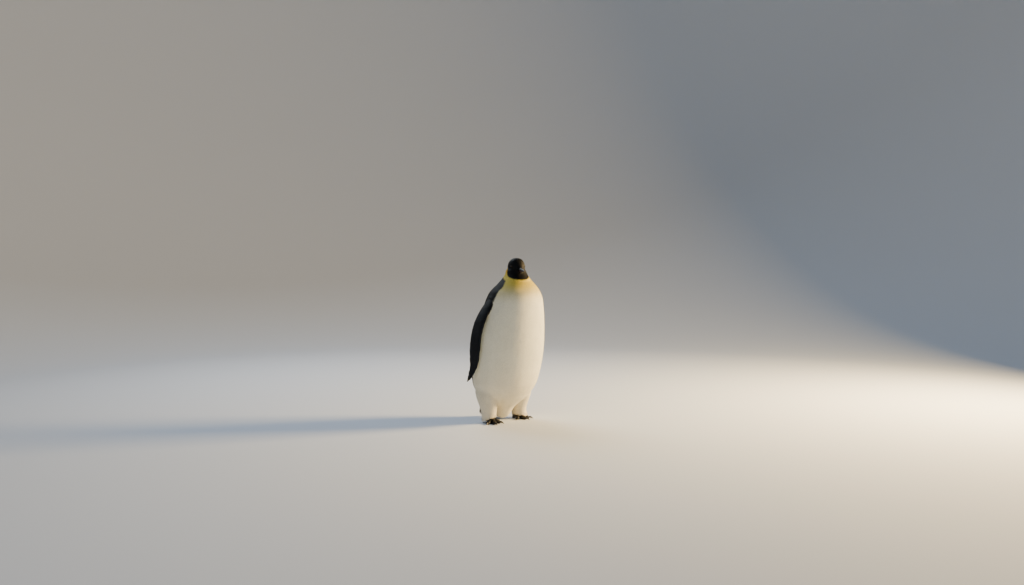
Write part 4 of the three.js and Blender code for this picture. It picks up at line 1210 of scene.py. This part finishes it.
def scale_object():
    """One scale a unit long and wide: a low closed shield, square at its root and round at its edge."""
    rim = ((-0.30, 0.0), (0.30, 0.0), (0.50, 0.45), (0.36, 0.88), (0.0, 1.0), (-0.36, 0.88),
           (-0.50, 0.45))
    points = [(x, y, 0) for x, y in rim] + [(0, 0.5, 0), (0, 0.5, 0)]
    crown, back = len(rim), len(rim) + 1
    faces = []
    for step in range(len(rim)):
        after = (step + 1) % len(rim)
        faces += [(crown, step, after), (back, after, step)]
    mesh = mesh_of("scale", points, faces)
    marks = [(2 * x, y, 0) for x, y in rim] + [(0, 0.5, 1.6), (0, 0.5, -1.0)]
    store(mesh, "vane", "FLOAT_VECTOR", "POINT", marks)
    sharp = mesh.attributes.new("sharp_edge", "BOOLEAN", "EDGE")
    sharp.data.foreach_set("value", [max(e.vertices) < crown for e in mesh.edges])
    return linked(mesh, "scale")


def foot_look(name, roughness, bump, scale):
    """Tough dark skin, greyer where it is worn, with fine creases."""
    material, tree, shader = finish_of(name, roughness, Specular_IOR_Level=0.4)
    place = add_node(tree, "ShaderNodeTexCoord").outputs["Object"]
    worn = add_node(tree, "ShaderNodeTexNoise", {"Vector": place, "Scale": 60.0, "Detail": 4.0})
    cells = add_node(tree, "ShaderNodeTexVoronoi", {"Vector": place, "Scale": scale}, feature="F1")
    masked = add_node(tree, "ShaderNodeMapRange", {0: worn.outputs[0], 1: 0.42, 2: 0.72})
    color = add_node(tree, "ShaderNodeMix", {0: masked.outputs[0], 6: FOOT_SKIN, 7: FOOT_WORN},
                     data_type="RGBA")
    dull = add_node(tree, "ShaderNodeMapRange",
                    {0: worn.outputs[0], 3: roughness * 0.8, 4: roughness * 1.3})
    relief = add_node(tree, "ShaderNodeBump",
                      {"Strength": bump, "Distance": 0.0004, "Height": cells.outputs[0]})
    tree.links.new(color.outputs[2], shader.inputs["Base Color"])
    tree.links.new(dull.outputs[0], shader.inputs["Roughness"])
    tree.links.new(relief.outputs[0], shader.inputs["Normal"])
    return material


foot_skin = foot_look("foot_skin", roughness=0.5, bump=0.8, scale=520.0)
foot_scales = foot_look("foot_scales", roughness=0.4, bump=0.3, scale=900.0)
scale = scale_object()
for number, side in enumerate(("right", "left")):
    ankle, post = ankle_post(side)
    mesh = refined(["foot_" + side], FOOT_VOXEL, FOOT_PASSES, [post])
    points, normals = points_of(mesh), normals_of(mesh)
    away = points - (ankle[0], ankle[1], points[:, 2].min())
    reach = np.linalg.norm(away[:, :2], axis=1)
    folds = np.sin(reach / KNUCKLE_STEP * 2 * math.pi) * blend_over(reach, 0.02, 0.035)
    folds *= KNUCKLE_FOLD * np.clip(normals[:, 2], 0, 1)
    points = points + normals * folds[:, None]
    points[:, 2] = np.maximum(points[:, 2], 0)
    move_points(mesh, points)

    # The scales lie away from the ankle, and are smaller towards the claws.
    points, normals = points_of(mesh), normals_of(mesh)
    ahead = unit(away * (1, 1, 0) - (0, 0, 0.02))
    corners = read(mesh.loops, "vertex_index", 1, np.int32)
    starts = read(mesh.polygons, "loop_start", 1, np.int32)
    low, high = points.min(0), points.max(0)
    tops = (normals[:, 2] > -0.1) & (points[:, 2] < SCALES_TO)
    lie = unit(ahead - normals * (ahead * normals).sum(1, keepdims=True))
    smaller = 1 - 0.25 * blend_over(reach, 0.03, 0.08)
    store(mesh, "outward", "FLOAT_VECTOR", "POINT", normals)
    store(mesh, "lie", "FLOAT_VECTOR", "POINT", lie)
    store(mesh, "coat_size", "FLOAT_VECTOR", "POINT", np.outer(smaller, SCALE_SIZE))
    store(mesh, "hang", "FLOAT", "POINT", np.zeros(len(points)))
    store(mesh, "tip_tone", "FLOAT_COLOR", "POINT", np.tile(FOOT_SKIN, (len(points), 1)))
    store(mesh, "chart", "INT", "FACE", np.where(tops[corners[starts]], number, -1))
    flat = (points - low)[:, :2] / (high - low)[:2]
    store(mesh, "chart_place", "FLOAT2", "CORNER", flat[corners])
    scales = grown(plumage, mesh, Vane=scale, Chart=number, Spacing=SCALE_SPACING, Seed=FOOT_SEED + number,
                   Crown=VANE_CROWN, Lift=0.0, Twist=SCALE_TWIST, Patch=BAKE_PATCH,
                   Finish=foot_scales)
    coat = linked(scales, "scales_" + side)
    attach(coat, "root")
    finished(mesh, "foot_skin_" + side, foot_skin, "foot", "foot_" + side)
bpy.data.objects.remove(scale)

# ---------------------------------------------------------------- claws
# Long, stout, blunt-edged claws of black horn, worn paler at the point. Each is a hollow cone of
# horn grown over the last bone of its toe, curved down to the ground.

CLAW_ROUND, CLAW_ALONG = 22, 20
CLAW_ARCH, CLAW_BLUNT, CLAW_LEAST = 0.10, 0.16, 0.0022
CLAW_FLUTE, CLAW_CLEAR = 0.16, 0.0002
CLAW_HORN = (0.012, 0.010, 0.009, 1)
CLAW_WORN = (0.050, 0.041, 0.034, 1)

claw_horn = horn_look("claw_horn", CLAW_HORN, CLAW_WORN, 0.34)
for side in ("right", "left"):
    ankle = ankle_post(side)[0]
    for toe in ("inner", "middle", "outer", "hind"):
        node = f"claw_{side}_{toe}"
        rough = points_of(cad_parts[node].data)
        far = np.linalg.norm((rough - ankle)[:, :2], axis=1)
        tip = rough[far.argmax()]
        root = rough[far < far.min() + 0.2 * (far.max() - far.min())].mean(0)
        length = np.linalg.norm(tip - root)
        way = unit(tip - root)
        aside = unit(np.cross(way, (0, 0, 1)))
        above = np.cross(aside, way)
        half = max(np.abs((rough - root) @ aside).max(), CLAW_LEAST)
        share = np.repeat(np.linspace(0, 1, CLAW_ALONG + 2)[1:-1] ** 0.8, CLAW_ROUND)
        turn = np.tile(np.linspace(0, 2 * math.pi, CLAW_ROUND, endpoint=False), CLAW_ALONG)
        share, turn = np.append(share, (0, 1)), np.append(turn, (0, 0))
        across, rise = np.cos(turn), np.sin(turn)
        thin = np.minimum(1, share / CLAW_BLUNT) ** 0.5 * (1 - share ** 1.5) ** 0.75
        thin[-2:] = 0
        flute = 1 - CLAW_FLUTE * np.exp(-(((rise + 1) / 0.25) ** 2))
        arch = CLAW_ARCH * length * 4 * share * (1 - share)
        points = (root + np.outer(share * length, way) + np.outer(half * thin * across * flute, aside)
                  + np.outer(1.1 * half * thin * rise * flute + arch, above))
        points[:, 2] = np.maximum(points[:, 2], CLAW_CLEAR)
        mesh = mesh_of(node, points, rings_closed(CLAW_ALONG, CLAW_ROUND))
        store(mesh, "horn", "FLOAT_VECTOR", "POINT", np.stack([share, across * half, rise * half], 1))
        finished(facing_out(mesh), f"horn_{node}", claw_horn, "claw", node)

# ---------------------------------------------------------------- tail
# A short fan of stiff, narrow feathers with strong shafts, which carries on the line of the back
# and props on the ground. The middle ones are the longest and lie over their neighbours.

TAIL_FEATHERS, TAIL_ROUND, TAIL_ALONG = 17, 10, 18
TAIL_SPREAD, TAIL_UNEVEN = math.radians(19), math.radians(1.2)
TAIL_ROOT_HALF, TAIL_HALF_WIDTH, TAIL_THICK = 0.030, 0.0100, 0.0009
TAIL_SINK, TAIL_SHORTER, TAIL_CLEAR = 0.0051, 0.16, 0.0012
TAIL_BOW, TAIL_DISH = 0.006, 0.0012
TAIL_TONE = (0.0075, 0.0085, 0.011)
TAIL_SEED = 5

tail_length = np.linalg.norm(tail_end - tail_root)
tail_chance = np.random.default_rng(TAIL_SEED).random(TAIL_FEATHERS)
points, faces, marks, places = [], [], [], []
for number in range(TAIL_FEATHERS):
    off = 2 * number / (TAIL_FEATHERS - 1) - 1
    fan = TAIL_SPREAD * off + TAIL_UNEVEN * (tail_chance[number] - 0.5)
    way = tail_way * math.cos(fan) + np.array([1, 0, 0]) * math.sin(fan)
    side = np.cross(way, tail_back)
    root = tail_root + np.array([off * TAIL_ROOT_HALF, 0, 0]) - tail_back * abs(off) * TAIL_SINK
    length = min(tail_length * (1 - TAIL_SHORTER * off * off), (root[2] - TAIL_CLEAR) / -way[2])
    first = len(points)
    shares = 0.5 - 0.5 * np.cos(np.linspace(0, math.pi, TAIL_ALONG + 2)[1:-1])
    for share in shares:
        taper = min(1, (share / 0.1) ** 0.5) * (1 - share ** 5) ** 0.8 * (1 - 0.25 * share)
        half = TAIL_HALF_WIDTH * taper
        middle = root + way * length * share + tail_back * TAIL_BOW * (share * (1 - share)) * 2
        for step in range(TAIL_ROUND):
            turn = 2 * math.pi * step / TAIL_ROUND
            across, rise = math.cos(turn), math.sin(turn)
            ridge = TAIL_THICK * (rise * 0.5 + 0.7 * max(0, rise) ** 6 * (1 - 0.6 * share))
            lifted = ridge - TAIL_DISH * across * across
            points.append(middle + side * half * across + tail_back * lifted)
            marks.append((across, share, tail_chance[number]))
            places.append(((number + 0.5 + 0.42 * across) / TAIL_FEATHERS, share))
    for share in (0.0, 1.0):
        points.append(root + way * length * share)
        marks.append((0, share, tail_chance[number]))
        places.append(((number + 0.5) / TAIL_FEATHERS, share))
    faces += [[first + corner for corner in face] for face in rings_closed(TAIL_ALONG, TAIL_ROUND)]
mesh = facing_out(mesh_of("tail", points, faces))
store(mesh, "feather", "FLOAT_VECTOR", "POINT", marks)
store(mesh, "tone", "FLOAT_COLOR", "POINT", np.tile((*TAIL_TONE, 1), (len(points), 1)))
tail_uv = mesh.uv_layers.new(name="OFBake")
corners = read(mesh.loops, "vertex_index", 1, np.int32)
tail_uv.data.foreach_set("uv", np.array(places, np.float32)[corners].ravel())
tail_look = plumage_look("tail_feathers", roughness=0.42, gloss=0.3, bump=0.6,
                         Shaft=0.9, Barbs=0.25, Rim=0.8, Variety=0.5, Stain=0.4)
finished(mesh, "tail_feathers", tail_look, "tail", "tail")
